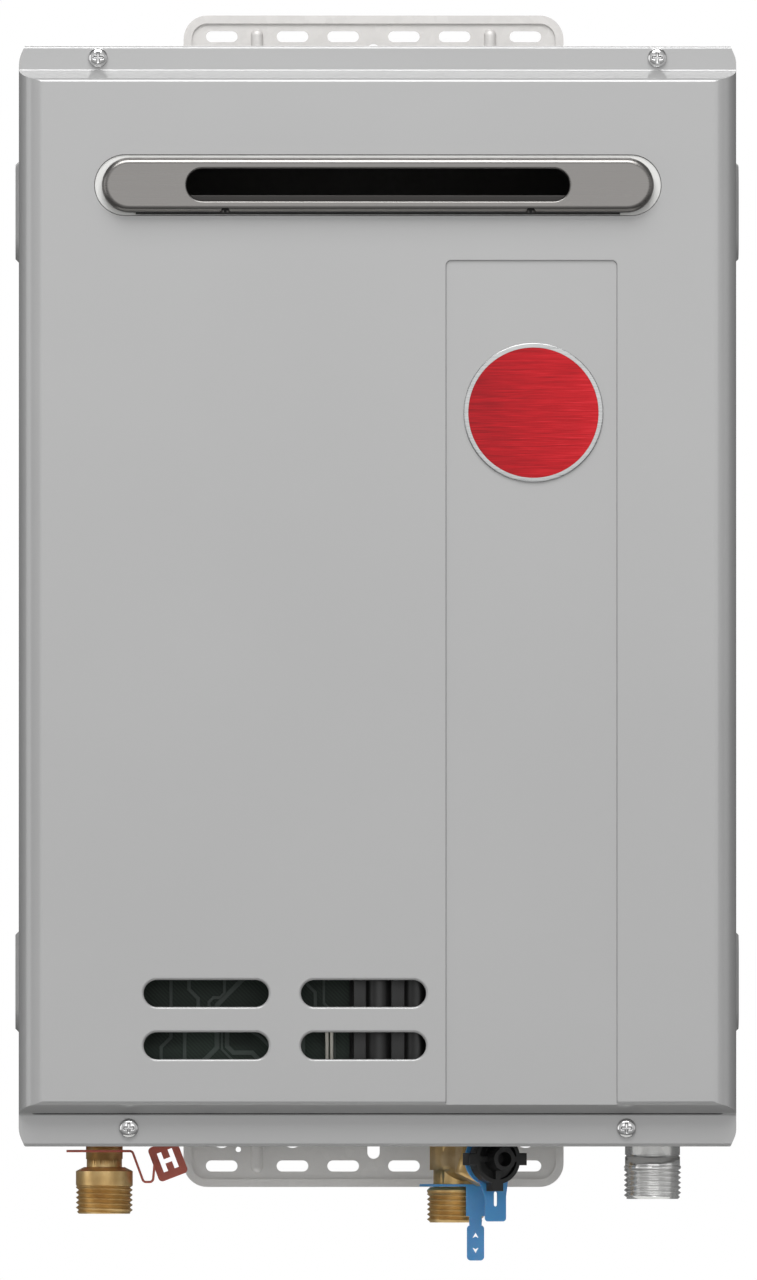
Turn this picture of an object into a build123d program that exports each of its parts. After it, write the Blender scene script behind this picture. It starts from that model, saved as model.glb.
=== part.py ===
from build123d import *
import math
import os

# Wall-hung gas tankless water heater, in millimetres.
# The wall is the plane Y = 0, the front faces -Y, and the origin is midway between the four outer wall slots.

# Overall body
cover_width = 335.0
cover_height = 514.0
body_depth = 180.0  # from the wall to the front face
sheet = 1.2  # painted steel sheet
overrun = 6.0  # how far a cutting body passes a wall
fit_gap = 0.3  # clearance where pieces move past each other
seat_gap = 0.05  # clearance of a pin, ring or tube in its seat

# Front cover
flange_depth = 10.0  # front face to the screw flanges
top_flange = 11.6
top_ramp = 4.3
bottom_flange = 15.3
bottom_ramp = 4.6
bend_radius = 2.0
edge_radius = 1.6
root_radius = 1.4
side_radius = 11.0
corner_run = 2.7  # the cut corners seen from the front
corner_rise = 6.0
corner_bend = 12.0
corner_tip = 0.8
cover_side = 75.0  # depth of the side walls
cover_return = 9.0  # depth of the top and bottom edges behind the flanges

# Air inlet slots in the cover
inlet_width = 58.3
inlet_height = 12.5
inlet_pitch_x = 73.4
inlet_pitch_z = 24.4
inlet_x = -43.4
inlet_z = -197.8
inlet_lip = 3.6
lip_radius = 1.15

# Recessed strip down the cover
strip_width = 80.0
strip_x = 71.7
strip_drop = 100.3  # below the cover's top edge
strip_depth = 0.8
strip_corner = 2.5

# Pads pressed out of the cover's sides
pad_height = 49.5
pad_depth = 30.0
pad_corner = 12.0
pad_proud = 1.6
pad_set = 40.0  # behind the front face
pad_z = 180.0
pad_slope = 45.0

# Badge blank
badge_radius = 32.6
badge_rim_width = 2.3
badge_rim_height = 2.2
badge_disc_height = 1.5
badge_drop = 171.5
badge_shift = 0.9

# Cover screws
cover_screw_top_inset = 36.9
cover_screw_top_drop = 5.5
cover_screw_bottom_inset = 51.3
cover_screw_bottom_rise = 8.6
cover_head_radius = 4.6
cover_head_height = 2.8
cover_shank_radius = 2.0
cover_shank_length = 9.0

# Small screws used inside and behind
small_head_radius = 3.6
small_head_height = 2.0
small_shank_radius = 1.6
small_shank_length = 5.0
cross_length_share = 0.62
cross_width_share = 0.17
cross_depth_share = 0.6
dome_share = 0.55

# Rear case, panels and seal
case_gap = 0.4
lip_width = 14.0
skirt = 14.0
gasket_thickness = 2.0
gasket_margin = 0.7

# Wall brackets
bracket_width = 179.3
bracket_plate = 2.0
bracket_step = 8.0
bracket_corner = 11.2
bracket_rim = 3.8
bracket_rim_height = 1.2
slot_line = 266.5  # from the middle of the body to the slots
slot_edge = 9.9
slot_length = 14.9
slot_width = 5.2
slot_inner_x = 14.35
slot_middle_x = 38.25
slot_outer_x = 71.65
key_width = 5.8
key_drop = 3.4
key_length = 22.0
key_head_radius = 6.5
port_radius = 5.1
port_drop = 13.6
pin_hole_radius = 1.25
pin_hole_x = 63.8
pin_hole_drop = 7.8
rib_x = 55.0
rib_radius = 2.8
rib_reach = 3.5
rib_foot = 4.0
joggle_drop = 30.0
joggle_run = 8.0
foot_length = 45.0
foot_screw_x = 62.0
foot_screw_drop = 24.0

# Exhaust hood
hood_width = 257.6
hood_height = 25.5
hood_drop = 65.3  # below the cover's top edge
hood_proud = 6.0
hood_edge = 3.0
hood_wall = 1.0
hood_depth = 14.0
hood_flange = 6.0
hood_slot_width = 178.9
hood_slot_height = 15.1
hood_lip = 4.0
hood_lip_radius = 0.9
hood_opening_side = 3.6
hood_opening_rise = 1.6
hood_seal_recess = 0.6
notch_x = 71.3
notch_radius = 2.5
notch_set = 2.3

# Heat exchanger stack
stack_side_gap = 60.7  # between the stack and the case's sides
stack_front_gap = 30.0  # between the stack and the front face
stack_gap = 18.8  # behind the stack, to the case
stack_wall = 1.0
flue_drop = 32.0
flue_height = 75.0
neck_inset = 4.0
neck_height = 23.0
jacket_height = 130.0
burner_height = 65.0
plenum_height = 30.0
stay_height = 20.0
stay_width = 150.0
stay_wall = 2.0

# Fins and tubes
fin_count = 28
fin_thickness = 0.6
fin_margin = 10.0
fin_height = 42.0
fin_drop = 6.0
pass_count = 4
pass_margin = 19.0
pass_reach = 16.0
bend_slack = 0.2
tube_radius = 6.3
tube_wall = 0.9

# Wrap coil on the jacket
coil_rise = 26.0
coil_pitch = 34.0
coil_bend = 16.0
coil_end_bend = 10.0
coil_start_set = 34.0
coil_outset = 20.0
coil_lead = 24.0  # upright end that the cold pipe meets

# Burner and gas rail
bar_count = 11
bar_width = 8.0
bar_margin = 19.0
bar_height = 42.0
bar_foot = 8.0
bar_crown = 3.4
bar_port_width = 3.0
bar_port_depth = 12.0
rail_inset = 6.0
rail_depth = 12.0
rail_height = 20.0
rail_rise = 8.0
rail_edge = 2.0
nozzle_radius = 3.0
nozzle_length = 9.0
nozzle_bore = 0.8

# Electrodes and ignition
rod_spread = 60.0
rod_drop = 8.0
ceramic_radius = 3.4
ceramic_length = 20.0
ceramic_inside = 5.0
pin_radius = 1.0
pin_length = 22.0
module_width = 30.0
module_depth = 40.0
module_height = 50.0
module_drop = 10.0
module_set = 50.0
module_edge = 2.5
lead_radius = 1.6
lead_bend = 6.0
lead_proud = 7.0

# Fan
fan_x = -42.0
fan_drop = 70.0
scroll_radius = 60.0
scroll_wall = 1.6
fan_depth = 52.0
outlet_width = 50.0
inlet_eye_radius = 34.0
impeller_radius = 46.0
impeller_width = 36.0
impeller_blades = 24
blade_thickness = 1.2
blade_reach = 11.0
blade_pitch_angle = 32.0
ring_height = 2.0
hub_radius = 9.0
web_thickness = 2.0
motor_radius = 31.0
motor_length = 26.0
motor_edge = 4.0
shaft_radius = 3.0
shaft_inside = 22.0

# Bottom connections
pipe_set = 95.0  # water fittings, behind the front face
gas_set = 75.0
hot_inset = 40.2  # from the cover's side
gas_inset = 37.9
cold_x = 37.5
thread_radius = 13.35
thread_pitch = 2.35
thread_depth = 1.2
thread_chamfer = 1.4
crest_share = 0.24
root_share = 0.16
water_bore = 8.0
fitting_flange = 3.0
fitting_flange_width = 54.0
fitting_flange_depth = 30.0
fitting_flange_corner = 6.0
fitting_screw_x = 22.0
grommet_wall = 2.0
grommet_lip = 2.2
hot_end = 31.7  # below the cover's bottom edge
hot_thread = 21.9
hot_band = 8.4  # plain part above the turns
hot_shoulder = 1.9
hot_shoulder_start = 9.6
hot_collar = 3.75
hot_flats = 17.2
hot_collar_radius = 8.3
cold_end = 35.8
cold_thread = 16.6
cold_band = 2.2
cold_neck = 8.0
cold_neck_radius = 10.4
cold_flats = 20.9
gas_end = 24.7
gas_thread = 15.7
gas_band = 1.0
gas_radius = 12.9
gas_groove_drop = 19.6  # below the bottom panel
gas_groove_width = 0.8
gas_groove_depth = 0.5
gas_bore = 9.5

# Filter branch, knob and strainer
filter_angle = 23.5  # from straight ahead towards +X
filter_drop = 6.0  # below the cover's bottom edge
branch_radius = 10.2
branch_nut_start = 24.0
branch_nut_end = 34.0
branch_nut_flats = 22.0
branch_neck_radius = 9.0
branch_end = 41.0
branch_bore = 7.5
strainer_start = 12.0
strainer_end = 29.0
strainer_radius = 6.4
strainer_wall = 0.8
strainer_holes = 10
strainer_rows = 3
strainer_hole_radius = 1.1
stem_radius = 7.2
ring_tube_radius = 0.9
ring_place = 36.5
knob_start = 41.6
knob_length = 14.5
knob_disc = 7.0
knob_core_radius = 11.7
knob_lobes = 4
knob_lobe_reach = 15.0
knob_lobe_width = 5.8
knob_hollow_radius = 9.6
knob_hollow_depth = 3.6
knob_rib_width = 2.4
knob_hub_radius = 5.4
knob_bore = 3.4
knob_bore_depth = 9.0
knob_edge = 0.8

# Flow sensor, water valve and pipes
sensor_radius = 16.0
sensor_height = 46.0
sensor_bore = 11.0
rotor_vanes = 6
rotor_radius = 10.4
rotor_height = 14.0
rotor_hub_radius = 3.2
vane_thickness = 1.2
axle_radius = 1.5
axle_height = 22.0
spider_height = 3.0
spider_width = 2.4
spider_arms = 3
valve_size = 36.0
valve_height = 40.0
valve_edge = 3.0
valve_motor_radius = 15.0
valve_motor_length = 22.0
pipe_radius = 6.3
pipe_wall = 0.9
pipe_bend = 16.0
cold_rise = 38.0
bypass_radius = 4.0
bypass_wall = 0.8
bypass_rise = 9.0
hot_turn_drop = 30.0
hot_run_drop = 85.0
switch_radius = 8.0
switch_height = 8.0
switch_inset = 34.0
switch_drop = 26.0

# Gas train
gas_valve_width = 46.0
gas_valve_depth = 44.0
gas_valve_height = 84.0
gas_valve_edge = 3.0
solenoid_radius = 14.0
solenoid_length = 30.0
solenoid_spread = 40.0
solenoid_cap = 5.0
plunger_radius = 5.0
plunger_gap = 0.1
plunger_travel = 3.0
gas_pipe_radius = 7.0
gas_pipe_wall = 1.0
gas_pipe_bend = 14.0
gas_pipe_first = 50.0
gas_pipe_second = 46.0

# Control board and electrics
tray_left = -122.0
tray_right = 33.0
tray_height = 76.0
tray_plate = 2.0
tray_set = 35.0  # behind the front face
tray_wall_depth = 12.0
boss_radius = 3.0
boss_height = 6.0
board_left = -119.0
board_right = -13.0
board_thickness = 1.6
board_low = 8.0
board_high = 4.0
board_hole_inset = 4.5
module_left = -11.0
module_right = 30.0
power_depth = 18.0
power_edge = 4.0
power_rib_radius = 6.0
relay_width = 16.0
relay_height = 5.6
relay_depth = 9.0
connector_width = 13.0
connector_height = 6.0
connector_depth = 8.0
connector_count = 5
capacitor_radius = 2.7
capacitor_depth = 11.0
capacitor_pitch = 7.0
wire_radius = 0.8
wire_x = -22.5
wire_pitch = 2.2
wire_bend = 5.0
wire_proud = 6.0
terminal_shift = 3.95  # left of midway between the cold and gas connections
terminal_width = 42.0
terminal_height = 18.0
terminal_depth = 16.0
terminal_ways = 4
terminal_way_radius = 2.6
terminal_foot = 4.0
terminal_set = 48.0
cable_shift = 8.5  # right of the terminal block's middle
cable_set = 52.0
cable_bore = 7.0
cable_hole = 11.0
cable_lip = 2.5

# Tags
tag_thickness = 1.1
hot_ring_inner = 10.0
hot_ring_outer = 17.8
hot_ring_drop = 2.3
hot_strap_width = 8.0
hot_strap_start = 12.0
hot_strap_turn = 20.6
hot_strap_fall = 14.5
strap_bend = 1.7
hot_plate_x = 29.8
hot_plate_drop = 4.3
hot_plate_width = 14.4
hot_plate_height = 17.0
hot_plate_corner = 2.0
hot_plate_angle = 21.0
letter_height = 9.4
letter_width = 7.5
letter_stroke = 2.1
cold_ring_outer = 16.9
cold_strap_x = 9.2
cold_strap_width = 8.9
cold_strap_set = 14.6
cold_strap_fall = 15.0
cold_neck_width = 5.9
cold_neck_fall = 4.2
arrow_width = 8.1
arrow_height = 16.6
arrow_corner = 1.8
arrow_half = 1.4
arrow_tall = 2.5
arrow_spread = 7.0
arrow_notch_share = 0.2
filter_ring_outer = 12.2
filter_ring_place = 37.5
filter_tag_width = 10.7
filter_tag_length = 29.2
filter_tag_flare = 19.0
filter_tag_shoulder = 17.6
filter_tag_corner = 1.6
filter_tag_bend = 8.0
filter_tag_shift = 3.6
filter_slot_width = 1.8
filter_slot_length = 7.0
filter_slot_place = 18.7

# Planes that the pieces share
half_width = cover_width / 2
half_height = cover_height / 2
front_y = -body_depth
flange_y = front_y + flange_depth
lip_front = flange_y + sheet + gasket_thickness
lip_back = lip_front + sheet
case_back = -bracket_step
case_inside = case_back - sheet
case_half = half_width - sheet - case_gap
case_top = half_height - sheet - case_gap
case_bottom = -case_top
wall_inside = case_half - sheet
floor_low = case_bottom + skirt
floor_top = floor_low + sheet
stack_back = case_inside - stack_gap
stack_front = front_y + stack_front_gap
stack_depth = stack_back - stack_front
stack_half = wall_inside - stack_side_gap
stack_width = 2 * stack_half
pass_pitch = (stack_depth - 2 * pass_margin) / (pass_count - 1)
pass_bend = pass_pitch / 2 - bend_slack
bar_pitch = (stack_width - 2 * bar_margin) / (bar_count - 1)
rail_length = stack_width - 2 * rail_inset
flue_top = half_height - flue_drop
jacket_top = flue_top - flue_height
burner_top = jacket_top - jacket_height
plenum_top = burner_top - burner_height
plenum_low = plenum_top - plenum_height
hood_z = half_height - hood_drop
hood_front = front_y - hood_proud
hood_back = hood_front + hood_depth
water_y = front_y + pipe_set
gas_y = front_y + gas_set
hot_x = hot_inset - half_width
gas_x = half_width - gas_inset
terminal_x = (cold_x + gas_x) / 2 - terminal_shift
cable_x = terminal_x + cable_shift
flange_top = floor_top + fitting_flange
fan_z = plenum_low - fan_drop
fan_back = stack_back
fan_front = fan_back - fan_depth
filter_z = -half_height - filter_drop
tray_y = front_y + tray_set
board_y = tray_y - tray_plate - boss_height


def block(x0, x1, y0, y1, z0, z1):
    # a box from its six limits
    middle = Pos((x0 + x1) / 2, (y0 + y1) / 2, (z0 + z1) / 2)
    return middle * Box(abs(x1 - x0), abs(y1 - y0), abs(z1 - z0))


def along_x(face, x0, x1):
    # a face drawn in Y and Z, carried along X
    return Pos(x0, 0, 0) * extrude(Plane.YZ * face, amount=x1 - x0)


def along_y(face, y_back, y_front):
    # a face drawn in X and Z, carried towards the front
    return Pos(0, y_back, 0) * extrude(Plane.XZ * face, amount=y_back - y_front)


def along_z(face, z0, z1):
    # a face drawn in X and Y, carried upwards
    return Pos(0, 0, z0) * extrude(face, amount=z1 - z0)


def rod_x(y, z, radius, x0, x1):
    return along_x(Pos(y, z) * Circle(radius), x0, x1)


def rod_y(x, z, radius, y_back, y_front):
    return along_y(Pos(x, z) * Circle(radius), y_back, y_front)


def rod_z(x, y, radius, z0, z1):
    return along_z(Pos(x, y) * Circle(radius), z0, z1)


def tube(points, bend, outer, inner):
    # a round pipe along straight runs joined by bends
    path = FilletPolyline(*points, radius=bend)
    start = Plane(origin=path @ 0, z_dir=path % 0)
    skin = sweep(start * Circle(outer), path=path)
    return skin - sweep(start * Circle(inner), path=path)


def wire(points, bend, radius):
    path = FilletPolyline(*points, radius=bend)
    start = Plane(origin=path @ 0, z_dir=path % 0)
    return sweep(start * Circle(radius), path=path)


def outline(points, radii):
    # a closed outline with its own radius at each corner
    return make_face(FilletPolyline(*points, radius=radii, close=True))


def pan_screw(head_radius, head_height, shank_radius, shank_length):
    # a domed head with a cross recess above Z = 0 and its shank below
    head = along_z(Circle(head_radius), 0, head_height)
    head = fillet(head.edges().sort_by(Axis.Z)[-1], head_height * dome_share)
    arm = head_radius * cross_length_share
    half_arm = head_radius * cross_width_share
    low = head_height * (1 - cross_depth_share)
    head -= block(-arm, arm, -half_arm, half_arm, low, head_height + overrun)
    head -= block(-half_arm, half_arm, -arm, arm, low, head_height + overrun)
    return head + along_z(Circle(shank_radius), -shank_length, 0)


def group(solids):
    return Compound(children=list(solids))


def cover_screw_places():
    top_x = half_width - cover_screw_top_inset
    low_x = half_width - cover_screw_bottom_inset
    top = half_height - cover_screw_top_drop
    low = -half_height + cover_screw_bottom_rise
    return [(-top_x, top), (top_x, top), (-low_x, low), (low_x, low)]


def screw_holes(y_back, y_front):
    # clearance holes for the four cover screws
    radius = cover_shank_radius + fit_gap
    return [rod_y(x, z, radius, y_back, y_front) for x, z in cover_screw_places()]


def cover_side_profile(back_y, inset):
    # the pressed front seen from the side: flanges set back at top and bottom, ramps up to the front face
    top_low = half_height - top_flange
    low_high = -half_height + bottom_flange
    points = [
        (back_y, half_height),
        (flange_y, half_height),
        (flange_y, top_low),
        (front_y, top_low - top_ramp),
        (front_y, low_high + bottom_ramp),
        (flange_y, low_high),
        (flange_y, -half_height),
        (back_y, -half_height),
    ]
    bends = [0, edge_radius, root_radius, bend_radius, bend_radius, root_radius, edge_radius, 0]
    face = outline(points, bends)
    return face if inset == 0 else offset(face, amount=-inset, kind=Kind.INTERSECTION)


def cover_plan(back_y, inset):
    # the cover seen from above: straight sides and rounded front edges
    side = half_width - inset
    front = front_y + inset
    points = [(-side, back_y), (-side, front), (side, front), (side, back_y)]
    round_edge = side_radius - inset
    return outline(points, [0, round_edge, round_edge, 0])


def cut_corners(half_x, half_z):
    # an upright outline whose corners are cut steeply and eased into the sides
    side = half_z - corner_rise
    end = half_x - corner_run
    points = [
        (-half_x, -side),
        (-half_x, side),
        (-end, half_z),
        (end, half_z),
        (half_x, side),
        (half_x, -side),
        (end, -half_z),
        (-end, -half_z),
    ]
    return outline(points, [corner_bend, corner_bend, corner_tip, corner_tip] * 2)


def cover_body(inset, back_y):
    front = cut_corners(half_width - inset, half_height - inset)
    body = along_x(cover_side_profile(back_y, inset), -cover_width, cover_width)
    body &= along_z(cover_plan(back_y, inset), -cover_height, cover_height)
    return body & along_y(front, back_y, front_y - overrun)


def side_pads(inset):
    # tapered pads pressed outwards on both sides, twice each
    face = RectangleRounded(pad_depth, pad_height, pad_corner)
    pad = extrude(Plane.YZ * face, amount=pad_proud + sheet, taper=pad_slope)
    places = []
    for level in (-pad_z, pad_z):
        right = Pos(half_width - sheet - inset, front_y + pad_set, level) * pad
        places.append(right)
        places.append(mirror(right, about=Plane.YZ))
    return places


def strip_recess(depth_from, depth_to):
    top = half_height - strip_drop
    low = -half_height + bottom_flange
    face = Pos(strip_x, (top + low) / 2) * RectangleRounded(strip_width, top - low, strip_corner)
    return along_y(face, front_y + depth_to, front_y + depth_from)


def inlet_places():
    return [
        (inlet_x + dx * inlet_pitch_x / 2, inlet_z + dz * inlet_pitch_z / 2)
        for dx in (-1, 1)
        for dz in (-1, 1)
    ]


def round_rim(body, x, z, width, height, plane_y, radius):
    # rounds the front edge of a slot
    def on_rim(edge):
        centre = edge.center()
        limits = edge.bounding_box()
        near_x = abs(centre.X - x) < width / 2 + fit_gap
        near_z = abs(centre.Z - z) < height / 2 + fit_gap
        flat = abs(limits.min.Y - plane_y) < seat_gap and abs(limits.max.Y - plane_y) < seat_gap
        return near_x and near_z and flat

    return fillet(body.edges().filter_by(on_rim), radius)


def front_cover():
    back = front_y + cover_side
    skin = cover_body(0, back) + side_pads(0) - strip_recess(-overrun, strip_depth)
    inside_back = back + overrun
    hollow = cover_body(sheet, inside_back) + side_pads(sheet)
    hollow -= strip_recess(0, sheet + strip_depth)
    cover = skin - hollow
    # the top and bottom edges are short returns, so only the sides run back
    reach = half_width - corner_rise
    cover -= block(-reach, reach, flange_y + cover_return, back + overrun, -cover_height, cover_height)
    for x, z in inlet_places():
        ring = Pos(x, z) * SlotOverall(inlet_width + 2 * sheet, inlet_height + 2 * sheet)
        cover += along_y(ring, front_y + inlet_lip, front_y + sheet / 2)
    for x, z in inlet_places():
        slot = Pos(x, z) * SlotOverall(inlet_width, inlet_height)
        cover -= along_y(slot, front_y + inlet_lip + overrun, front_y - overrun)
    for x, z in inlet_places():
        cover = round_rim(cover, x, z, inlet_width, inlet_height, front_y, lip_radius)
    cover -= along_y(hood_opening(0), front_y + sheet + overrun, front_y - overrun)
    cover -= screw_holes(flange_y + cover_return, front_y - overrun)
    return cover


def hood_opening(inset):
    width = hood_width + 2 * hood_opening_side - 2 * inset
    height = hood_height + 2 * hood_opening_rise - 2 * inset
    return Pos(0, hood_z) * SlotOverall(width, height)


def cover_screws():
    screw = pan_screw(cover_head_radius, cover_head_height, cover_shank_radius, cover_shank_length)
    return group(Pos(x, flange_y, z) * Rot(90, 0, 0) * screw for x, z in cover_screw_places())


def badge_place():
    return Pos(strip_x + badge_shift, front_y + strip_depth, half_height - badge_drop) * Rot(90, 0, 0)


def badge_rim():
    ring = along_z(Circle(badge_radius) - Circle(badge_radius - badge_rim_width), 0, badge_rim_height)
    outer = ring.edges().filter_by(GeomType.CIRCLE).group_by(Axis.Z)[-1]
    return badge_place() * fillet(outer, badge_rim_width / 3)


def badge_disc():
    radius = badge_radius - badge_rim_width - seat_gap
    return badge_place() * along_z(Circle(radius), 0, badge_disc_height)


def case_outline():
    return cut_corners(case_half, case_top)


def trim_to_case(body):
    return body & along_y(case_outline(), case_back, lip_front)


def bracket_screw_places():
    level = half_height - joggle_drop - joggle_run - foot_screw_drop
    return [(sx * foot_screw_x, sz * level) for sx in (-1, 1) for sz in (-1, 1)]


def rear_case():
    case = block(-case_half, case_half, case_inside, case_back, case_bottom, case_top)
    lip_low = floor_top
    lip_high = case_top - lip_width
    lip_inside = wall_inside - lip_width
    for side in (-1, 1):
        case += block(side * wall_inside, side * case_half, lip_front, case_back, case_bottom, case_top)
        case += block(side * lip_inside, side * case_half, lip_front, lip_back, lip_low, lip_high)
    for x, z in bracket_screw_places():
        case -= rod_y(x, z, small_shank_radius + seat_gap, case_back + overrun, case_inside - overrun)
    return trim_to_case(case)


def top_panel():
    panel = block(-wall_inside, wall_inside, lip_front, case_inside, case_top - sheet, case_top)
    panel += block(-wall_inside, wall_inside, lip_front, lip_back, case_top - lip_width, case_top)
    panel -= screw_holes(lip_back + overrun, lip_front - overrun)
    return trim_to_case(panel)


def bottom_panel():
    panel = block(-wall_inside, wall_inside, lip_front, case_inside, floor_low, floor_top)
    panel += block(-wall_inside, wall_inside, lip_front, lip_back, case_bottom, floor_top)
    panel -= screw_holes(lip_back + overrun, lip_front - overrun)
    for x, y, radius in pipe_holes():
        panel -= rod_z(x, y, radius + grommet_wall, floor_low - overrun, floor_top + overrun)
    for x, y in fitting_screw_places():
        panel -= rod_z(x, y, small_shank_radius + seat_gap, floor_low - overrun, floor_top + overrun)
    panel -= rod_z(cable_x, -cable_set, cable_hole, floor_low - overrun, floor_top + overrun)
    return trim_to_case(panel)


def fitting_screw_places():
    places = [(hot_x, water_y), (cold_x, water_y), (gas_x, gas_y)]
    return [(x + side * fitting_screw_x, y) for x, y in places for side in (-1, 1)]


def pipe_holes():
    # each connection with the radius that its grommet holds
    hot = hot_flats / 2 / math.cos(math.pi / 8)
    cold = cold_flats / 2 / math.cos(math.pi / 6)
    return [(hot_x, water_y, hot), (cold_x, water_y, cold), (gas_x, gas_y, gas_radius)]


def cover_gasket():
    reach = case_half - corner_rise
    top = case_top - gasket_margin
    low = case_bottom + gasket_margin
    strips = [
        block(-reach, reach, lip_front - gasket_thickness, lip_front, half_height - top_flange, top),
        block(-reach, reach, lip_front - gasket_thickness, lip_front, low, -half_height + bottom_flange),
    ]
    holes = screw_holes(lip_front + overrun, lip_front - gasket_thickness - overrun)
    return group(strip - holes for strip in strips)


def upper_wall_bracket():
    end = slot_line + slot_edge
    bend_top = half_height - joggle_drop
    bend_low = bend_top - joggle_run
    foot = bend_low - foot_length
    half = bracket_width / 2
    side = make_face(
        Polyline(
            (0, end),
            (-bracket_plate, end),
            (-bracket_plate, bend_top),
            (-bracket_step, bend_low),
            (-bracket_step, foot),
            (bracket_plate - bracket_step, foot),
            (bracket_plate - bracket_step, bend_low),
            (0, bend_top),
            close=True,
        )
    )
    corners = [(-half, foot), (-half, end), (half, end), (half, foot)]
    plan = outline(corners, [0, bracket_corner, bracket_corner, 0])
    bracket = along_x(side, -half, half) & along_y(plan, overrun, -bracket_step - overrun)
    # a narrow rim stands forward along the free edges
    inner = offset(plan, amount=-bracket_rim, kind=Kind.INTERSECTION)
    rim = along_y(plan - inner, 0, -bracket_plate - bracket_rim_height)
    bracket += rim & block(-half, half, -bracket_step, 0, bend_top + rib_foot, end)
    for x in (-rib_x, rib_x):
        bead = rod_z(x, -bracket_plate, rib_radius, bend_top + rib_foot, slot_line + rib_reach - rib_radius)
        bead += Pos(x, -bracket_plate, slot_line + rib_reach - rib_radius) * Sphere(rib_radius)
        bracket += bead & block(-half, half, -bracket_step, 0, bend_top, end)
    for x in (slot_inner_x, slot_middle_x, slot_outer_x):
        for place in (-x, x):
            bracket -= wall_cut(Pos(place, slot_line) * SlotOverall(slot_length, slot_width))
    for x in (slot_middle_x, slot_outer_x):
        for place in (-x, x):
            bracket -= wall_cut(Pos(place, slot_line - port_drop) * Circle(port_radius))
    bracket -= wall_cut(Pos(-pin_hole_x, slot_line - pin_hole_drop) * Circle(pin_hole_radius))
    key_top = slot_line - key_drop
    key = Pos(0, key_top - key_length / 2) * SlotOverall(key_length, key_width, rotation=90)
    bracket -= wall_cut(key + Pos(0, key_top - key_length) * Circle(key_head_radius))
    for x, z in bracket_screw_places():
        bracket -= rod_y(x, z, small_shank_radius + seat_gap, 0, -bracket_step - overrun)
    return bracket


def wall_cut(face):
    return along_y(face, overrun, -bracket_plate - overrun)


def lower_wall_bracket():
    return mirror(upper_wall_bracket(), about=Plane.XY)


def exhaust_hood():
    body = Pos(0, hood_z) * SlotOverall(hood_width, hood_height)
    hollow = Pos(0, hood_z) * SlotOverall(hood_width - 2 * hood_wall, hood_height - 2 * hood_wall)
    hood = along_y(body, hood_back, hood_front)
    rim = hood.edges().group_by(Axis.Y)[0]
    hood = fillet(rim, hood_edge)
    core = along_y(hollow, hood_back + overrun, hood_front + hood_wall)
    hood -= fillet(core.edges().group_by(Axis.Y)[0], hood_edge - hood_wall)
    flange = Pos(0, hood_z) * SlotOverall(hood_width + 2 * hood_flange, hood_height + 2 * hood_flange)
    hood += along_y(flange - hollow, hood_back, hood_back - hood_wall)
    lip = SlotOverall(hood_slot_width + 2 * hood_wall, hood_slot_height + 2 * hood_wall)
    hood += along_y(Pos(0, hood_z) * lip, hood_front + hood_lip, hood_front + hood_wall / 2)
    slot = Pos(0, hood_z) * SlotOverall(hood_slot_width, hood_slot_height)
    hood -= along_y(slot, hood_back + overrun, hood_front - overrun)
    hood = round_rim(hood, 0, hood_z, hood_slot_width, hood_slot_height, hood_front, hood_lip_radius)
    low = hood_z - hood_height / 2
    for x in (-notch_x, notch_x):
        hood -= rod_z(x, hood_front + notch_set, notch_radius, low - overrun, low + hood_wall * 2)
    return hood


def hood_seal():
    # pale ring that fills the cover's opening round the hood
    body = Pos(0, hood_z) * SlotOverall(hood_width + 2 * seat_gap, hood_height + 2 * seat_gap)
    ring = hood_opening(fit_gap) - body
    return along_y(ring, hood_back - hood_wall, front_y + hood_seal_recess)


def open_box(half, back, front, low, top, wall):
    # four upright walls with no floor or lid
    shell = block(-half, half, front, back, low, top)
    return shell - block(wall - half, half - wall, front + wall, back - wall, low - overrun, top + overrun)


def flue_collector():
    flue = open_box(stack_half, stack_back, stack_front, jacket_top, flue_top, stack_wall)
    flue += block(-stack_half, stack_half, stack_front, stack_back, flue_top - stack_wall, flue_top)
    half = stack_half - neck_inset
    low = hood_z - neck_height / 2
    top = hood_z + neck_height / 2
    flue += block(-half, half, hood_back, stack_front, low, top)
    mouth = block(
        stack_wall - half,
        half - stack_wall,
        hood_back - overrun,
        stack_front + 2 * stack_wall,
        low + stack_wall,
        top - stack_wall,
    )
    return flue - mouth


def tube_level():
    return jacket_top - fin_drop - fin_height / 2


def pass_places():
    middle = (stack_front + stack_back) / 2
    return [middle + pass_pitch * (pass_count / 2 - step - 1 / 2) for step in range(pass_count)]


def exchanger_jacket():
    # its corners are rounded so that the coil bends round them
    corner = coil_bend - tube_radius - fit_gap
    outer = RectangleRounded(stack_width, stack_depth, corner)
    width = stack_width - 2 * stack_wall
    depth = stack_depth - 2 * stack_wall
    inner = RectangleRounded(width, depth, corner - stack_wall)
    jacket = Pos(0, (stack_front + stack_back) / 2) * along_z(outer - inner, burner_top, jacket_top)
    for y in pass_places():
        jacket -= rod_x(y, tube_level(), tube_radius + seat_gap, -stack_width, stack_width)
    return jacket


def exchanger_fins():
    depth = stack_depth - 2 * stack_wall - 2 * fit_gap
    middle = (stack_front + stack_back) / 2
    face = Pos(middle, tube_level()) * Rectangle(depth, fin_height)
    for y in pass_places():
        face -= Pos(y, tube_level()) * Circle(tube_radius + seat_gap)
    first = fin_margin - stack_half
    step = (stack_width - 2 * fin_margin - fin_thickness) / (fin_count - 1)
    places = [first + place * step for place in range(fin_count)]
    return group(along_x(face, x, x + fin_thickness) for x in places)


def tube_end_x():
    return -stack_half - stack_wall


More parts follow.
